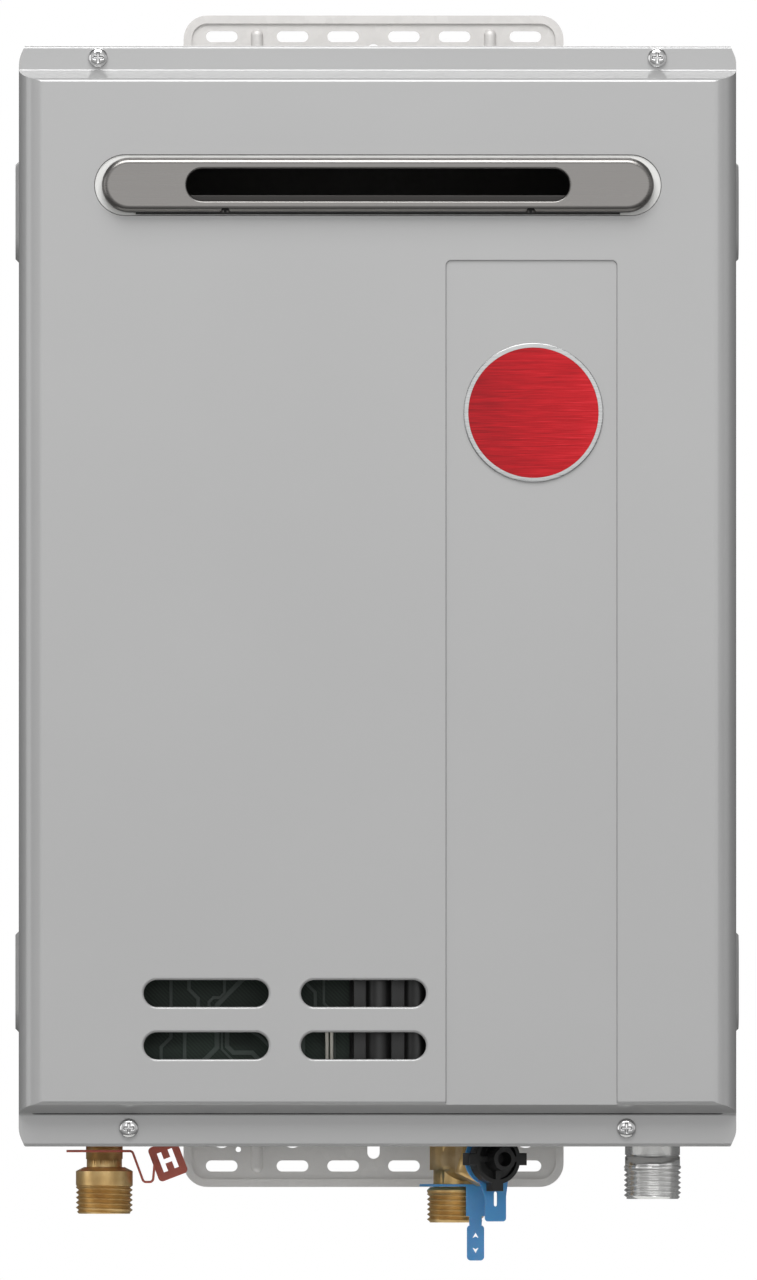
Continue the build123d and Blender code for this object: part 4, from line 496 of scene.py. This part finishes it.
def pressedEdge(e):
    # a half-sine step carried along the strip's outline: up the left, round both top corners, down the right
    turn = np.linspace(0, np.pi / 2, e["arc"])
    left, right, r = e["middle"] - e["half"], e["middle"] + e["half"], e["corner"]
    normal = np.vstack([[[-1, 0]], np.stack([-np.cos(turn), np.sin(turn)], 1),
                        np.stack([np.sin(turn), np.cos(turn)], 1), [[1, 0]]])
    centre = np.array([[left + r, e["foot"]]] + [[left + r, e["top"] - r]] * e["arc"]
                      + [[right - r, e["top"] - r]] * e["arc"] + [[right - r, e["foot"]]])
    across = np.append(np.linspace(0.5, -0.5, e["steps"]), [-0.5, 0.5, 0.5]) * e["width"]
    step = e["face"] - e["proud"] + e["depth"] * (0.5 - 0.5 * np.sin(np.pi * across / e["width"]))
    back = e["face"] + e["depth"] + e["sunk"]
    level = np.concatenate([step[:e["steps"]], [back, back], step[:1]])
    flat = centre[None] + (r + across)[:, None, None] * normal[None]
    return closeEnds(np.stack([flat[..., 0], level[:, None] + 0 * flat[..., 0], flat[..., 1]], -1))


# painted shade: the strip's pressed step wears the darker fold paint
putPiece("pressedEdge", [pressedEdge(stripEdge)], "foldShadePaint", "cover", crease=50.0)
print("strip edged")

# painted shade: a black bead laid in the lower fold stands for the dark line of shade at its root
rootShadeBead = {"root": (-170.0, -241.5), "radius": 0.55, "half": 165.5, "taper": 6.0, "columns": 60, "rows": 14}


def shadeBead(s):
    # a dark round bead carried along X in the lower fold, as painted shade at the fold's root; near both
    # ends its radius falls as the square root of the way left
    along = np.linspace(-1, 1, s["columns"])[None, :]
    angle = np.linspace(0, 2 * np.pi, s["rows"])[:, None]
    reach = np.clip((1 - np.abs(along)) * s["half"] / s["taper"], 0, 1) ** 0.5 * s["radius"]
    y = s["root"][0] + reach * np.cos(angle)
    z = s["root"][1] - reach * np.sin(angle)
    points = np.stack([along * s["half"] + 0 * angle, y, z], -1)
    return points, gridFaces(*points.shape[:2])


putPiece("foldShadeBead", [shadeBead(rootShadeBead)], "rubber", "cover")
# painted shade: a black strip under the hood stands for the shadow below it
hoodShadeStrip = {"half": 113.0, "low": 178.0, "top": 178.97, "front": -181.3, "back": -180.2,
            "notches": (-71.3, 71.3), "notch": 2.0, "columns": 400}


def shadeUnderHood(d):
    # a dark strip under the hood, as painted shade for the shadow below it: its top rises as a half circle in
    # each drain notch
    x = np.linspace(-d["half"], d["half"], d["columns"])[None, :]
    rise = sum(np.sqrt(np.clip(d["notch"] ** 2 - (x - middle) ** 2, 0, None)) for middle in d["notches"])
    y = np.array([d["back"], d["front"], d["front"], d["back"], d["back"]])[:, None] + 0 * x
    z = np.stack([d["top"] + rise[0], d["top"] + rise[0]] + [d["low"] + 0 * x[0]] * 2 + [d["top"] + rise[0]])
    return closeEnds(np.stack([x + 0 * y, y, z], -1))


putPiece("shadeUnderHood", [shadeUnderHood(hoodShadeStrip)], "rubber", "case", crease=50.0)
# the dark bead and strip above are painted shade
print("dark seams laid")

baffle = {"half": 88.0, "foot": 180.0, "top": 187.0, "front": -181.8, "back": -180.4, "round": 0.6, "arc": 6}


def baffleBar(b):
    # an upright bar carried along X behind the slot: straight sides, its two top edges quarter circles
    a = np.linspace(0, np.pi / 2, b["arc"])
    inset, drop = b["round"] * (1 - np.cos(a)), b["round"] * (1 - np.sin(a))
    y = np.concatenate([[b["back"]], b["back"] - inset, b["front"] + inset[::-1],
                        [b["front"], b["back"]]])[:, None]
    z = np.concatenate([[b["foot"]], b["top"] - drop, b["top"] - drop[::-1], [b["foot"]] * 2])[:, None]
    x = np.array([[-b["half"], b["half"]]])
    return closeEnds(np.stack([x + 0 * y, y + 0 * x, z + 0 * x], -1))


putPiece("slotBaffle", [baffleBar(baffle)], "smokedSteel", "case", crease=40.0)
print("slot baffle set")

boardTracks = {"plane": -154.6, "lift": 0.14, "flat": 0.86, "paths": [  # width, then points across and up
    (1.6, [(-96.4, -170), (-96.4, -206), (-101, -210.6), (-101, -230)]),
    (1.8, [(-88.0, -170), (-88.0, -183.6), (-83.7, -187.9), (-83.7, -196), (-90, -202.3), (-90, -230)]),
    (1.5, [(-78.6, -196), (-78.6, -189.4), (-76.6, -187.4), (-73.4, -187.4), (-71.4, -185.4), (-71.4, -170)]),
    (2.4, [(-57, -173), (-72.6, -188.6), (-74.9, -191), (-74.9, -210.8), (-80.5, -216.4), (-80.5, -230)]),
    (1.0, [(-72.6, -196), (-72.6, -211.6), (-67.5, -216.7), (-67.5, -230)]),
    (2.2, [(-70.2, -194), (-70.2, -210.2), (-67.2, -213.2), (-58.5, -213.2), (-53.5, -218.2), (-53.5, -230)]),
    (1.4, [(-62, -196), (-58.5, -203.5), (-55, -205.6), (-50, -210.6), (-44, -210.6)]),
    (1.6, [(-45.5, -170), (-45.5, -184), (-40, -189.5), (-40, -203), (-46, -209), (-46, -230)]),
    (1.6, [(-34, -170), (-34, -180), (-29, -185), (-29, -199), (-34.5, -204.5), (-34.5, -230)]),
    (1.2, [(-25, -170), (-25, -190), (-20, -195), (-20, -230)]),
    (1.2, [(-112, -172), (-112, -186), (-106, -192), (-106, -204), (-112, -210), (-112, -228)]),
]}


def trackRibbon(width, path, b):
    # a flat ribbon: each path point is offset both ways along its mitred normal, with a low step at the edges
    path = np.array(path, float)
    leg = np.diff(path, axis=0)
    leg /= np.linalg.norm(leg, axis=1, keepdims=True)
    before, after = np.vstack([leg[:1], leg]), np.vstack([leg, leg[-1:]])
    normal = np.stack([-(before + after)[:, 1], (before + after)[:, 0]], 1)
    normal /= np.linalg.norm(normal, axis=1, keepdims=True)
    mitre = width / 2 / np.abs(normal[:, 0] * -after[:, 1] + normal[:, 1] * after[:, 0])
    offsets = np.array([1, b["flat"], -b["flat"], -1])[:, None, None]
    flat = path[None] + offsets * (normal * mitre[:, None])[None]
    depth = b["plane"] - b["lift"] * np.array([0, 1, 1, 0])[:, None] + 0 * flat[..., 0]
    return np.stack([flat[..., 0], depth, flat[..., 1]], -1), gridFaces(4, len(path))


trackParts = [trackRibbon(width, path, boardTracks) for width, path in boardTracks["paths"]]
putPiece("boardTracks", trackParts, "track", "case", crease=30.0)
solderDots = {"radius": 0.9, "height": 0.5, "rows": 5, "columns": 16}


def solderDome(s, x, z, y):
    # a dome: radius goes with the sine of a, height with its cosine
    a = np.linspace(0, np.pi / 2, s["rows"])
    points, quads = turnProfile(s["radius"] * np.sin(a), s["height"] * np.cos(a), s["columns"])
    return faceFront(points, x, y, z), quads


dots = [solderDome(solderDots, *end, boardTracks["plane"]) for width, path in boardTracks["paths"]
        for end in (path[0], path[-1])]
putPiece("solderDots", dots, "solder", "case", crease=30.0)
print("board drawn:", len(trackParts), "tracks")

mould = {"flat": 1.5, "sharp": 40.0, "segments": 2}  # degrees: faces join below flat, edges round above sharp
softEdges = {  # edge radius in mm as a mould leaves it, body, finish, slot
    "filter_knob": (0.35, "filter_cap", "blackPlastic", "black_plastic"),
    "hot_tag": (0.22, "hot_label", "redTag", "red_tag_plastic"),
    "cold_tag": (0.22, "cold_label", "blueTag", "blue_tag_plastic"),
    "filter_tag": (0.22, "filter_label", "blueTag", "blue_tag_plastic"),
}
for nodeName, (width, body, finish, slotName) in softEdges.items():
    copied = mergedCopy(nodeName)
    bmesh.ops.dissolve_limit(copied, angle_limit=math.radians(mould["flat"]),
                             verts=copied.verts, edges=copied.edges)
    soft = putPiece(nodeName + "Soft", [], finish, body, [nodeName], mould["sharp"], copied)
    rounding = soft.modifiers.new("rounding", "BEVEL")
    rounding.width = width * mm
    rounding.segments = mould["segments"]
    rounding.limit_method = "ANGLE"
    rounding.angle_limit = math.radians(mould["sharp"])
    rounding.use_clamp_overlap = True
print("edges softened:", len(softEdges))

studio = {
    "aim": (0.4, -170.0, -20.5), "eye": (-182.8, -16107.0, -226.1),  # far off, for an almost parallel view
    "lens": 960.0, "sensor": 36.0, "farLimit": 100.0,  # the far limit is in metres
    "backdrop": 1.0, "ambient": 0.17, "frontGlow": 0.6,
    "facingSpan": (-0.9, 0.1), "levelSpan": (-0.8, 0.1),  # where the glow fades, to the back and downwards
    "softboxes": {  # size, place, power in watts
        "keySoftbox": ((2200, 1760), (-150, -1700, 2400), 93.0),
        "fillSoftbox": ((2600, 1200), (300, -3200, 300), 11.0),
        "backSoftbox": ((3600, 2400), (0, 3000, 2600), 80.0),
        "leftSoftbox": ((1400, 2000), (-2800, -900, 200), 10.0),
        "rightSoftbox": ((1400, 2000), (2800, -900, 200), 3.0),
    },
    "floorHeight": -1700.0, "floorRadius": 1300.0, "floorSides": 96,
}


def placeCamera(s):
    # a long lens from a little to the left and below, aimed at the picture's middle
    made = bpy.data.cameras.new("camera")
    made.lens = s["lens"]
    made.sensor_width = s["sensor"]
    made.clip_end = s["farLimit"]
    piece = bpy.data.objects.new("camera", made)
    piece.location = Vector(s["eye"]) * mm
    piece.rotation_euler = (Vector(s["aim"]) - Vector(s["eye"])).to_track_quat("-Z", "Y").to_euler()
    bpy.context.scene.collection.objects.link(piece)
    bpy.context.scene.camera = piece


def softbox(name, size, place, power):
    # a large rectangular lamp that faces the middle of the heater
    made = bpy.data.lights.new(name, "AREA")
    made.shape = "RECTANGLE"
    made.size, made.size_y = (side * mm for side in size)
    made.energy = power
    piece = bpy.data.objects.new(name, made)
    piece.location = Vector(place) * mm
    piece.rotation_euler = (-piece.location).to_track_quat("-Z", "Y").to_euler()
    bpy.context.scene.collection.objects.link(piece)


def lightStudio(s):
    # white backdrop for the eye; the surfaces get a dim surround that glows softly from the front
    world = bpy.data.worlds.new("studio")
    world.use_nodes = True
    tree = world.node_tree
    tree.nodes.clear()
    white = (1, 1, 1, 1)
    seen = addNode(tree, "ShaderNodeBackground", {"Strength": s["backdrop"], "Color": white}).outputs[0]
    way = addNode(tree, "ShaderNodeTexCoord").outputs["Generated"]
    axes = addNode(tree, "ShaderNodeSeparateXYZ", {0: way}).outputs
    facing = addNode(tree, "ShaderNodeMapRange", {
        "Value": axes[1], "From Min": s["facingSpan"][0], "From Max": s["facingSpan"][1],
        "To Min": s["frontGlow"], "To Max": 0.0}).outputs["Result"]
    level = addNode(tree, "ShaderNodeMapRange", {
        "Value": axes[2], "From Min": s["levelSpan"][0], "From Max": s["levelSpan"][1],
        "To Min": 0.0, "To Max": 1.0}).outputs["Result"]
    glow = addNode(tree, "ShaderNodeMath", {0: facing, 1: level, 2: s["ambient"]},
                   operation="MULTIPLY_ADD").outputs[0]
    around = addNode(tree, "ShaderNodeBackground", {"Strength": glow, "Color": white}).outputs[0]
    direct = addNode(tree, "ShaderNodeLightPath").outputs["Is Camera Ray"]
    mixed = addNode(tree, "ShaderNodeMixShader", {0: direct, 1: around, 2: seen}).outputs[0]
    addNode(tree, "ShaderNodeOutputWorld", {"Surface": mixed})
    bpy.context.scene.world = world
    for name, (size, place, power) in s["softboxes"].items():
        softbox(name, size, place, power)
    bpy.context.scene.view_settings.view_transform = "Standard"


def layFloor(s):
    # a flat disc of paper, turned from its middle to its rim
    points, quads = turnProfile([0.0, s["floorRadius"]], [s["floorHeight"]] * 2, s["floorSides"])
    mesh = bpy.data.meshes.new("floor")
    mesh.from_pydata((points.reshape(-1, 3) * mm).tolist(), [], quads.tolist())
    mesh.materials.append(finishes["paper"])
    piece = bpy.data.objects.new("floor", mesh)
    bpy.context.scene.collection.objects.link(piece)


placeCamera(studio)
lightStudio(studio)
layFloor(studio)
print("studio set")
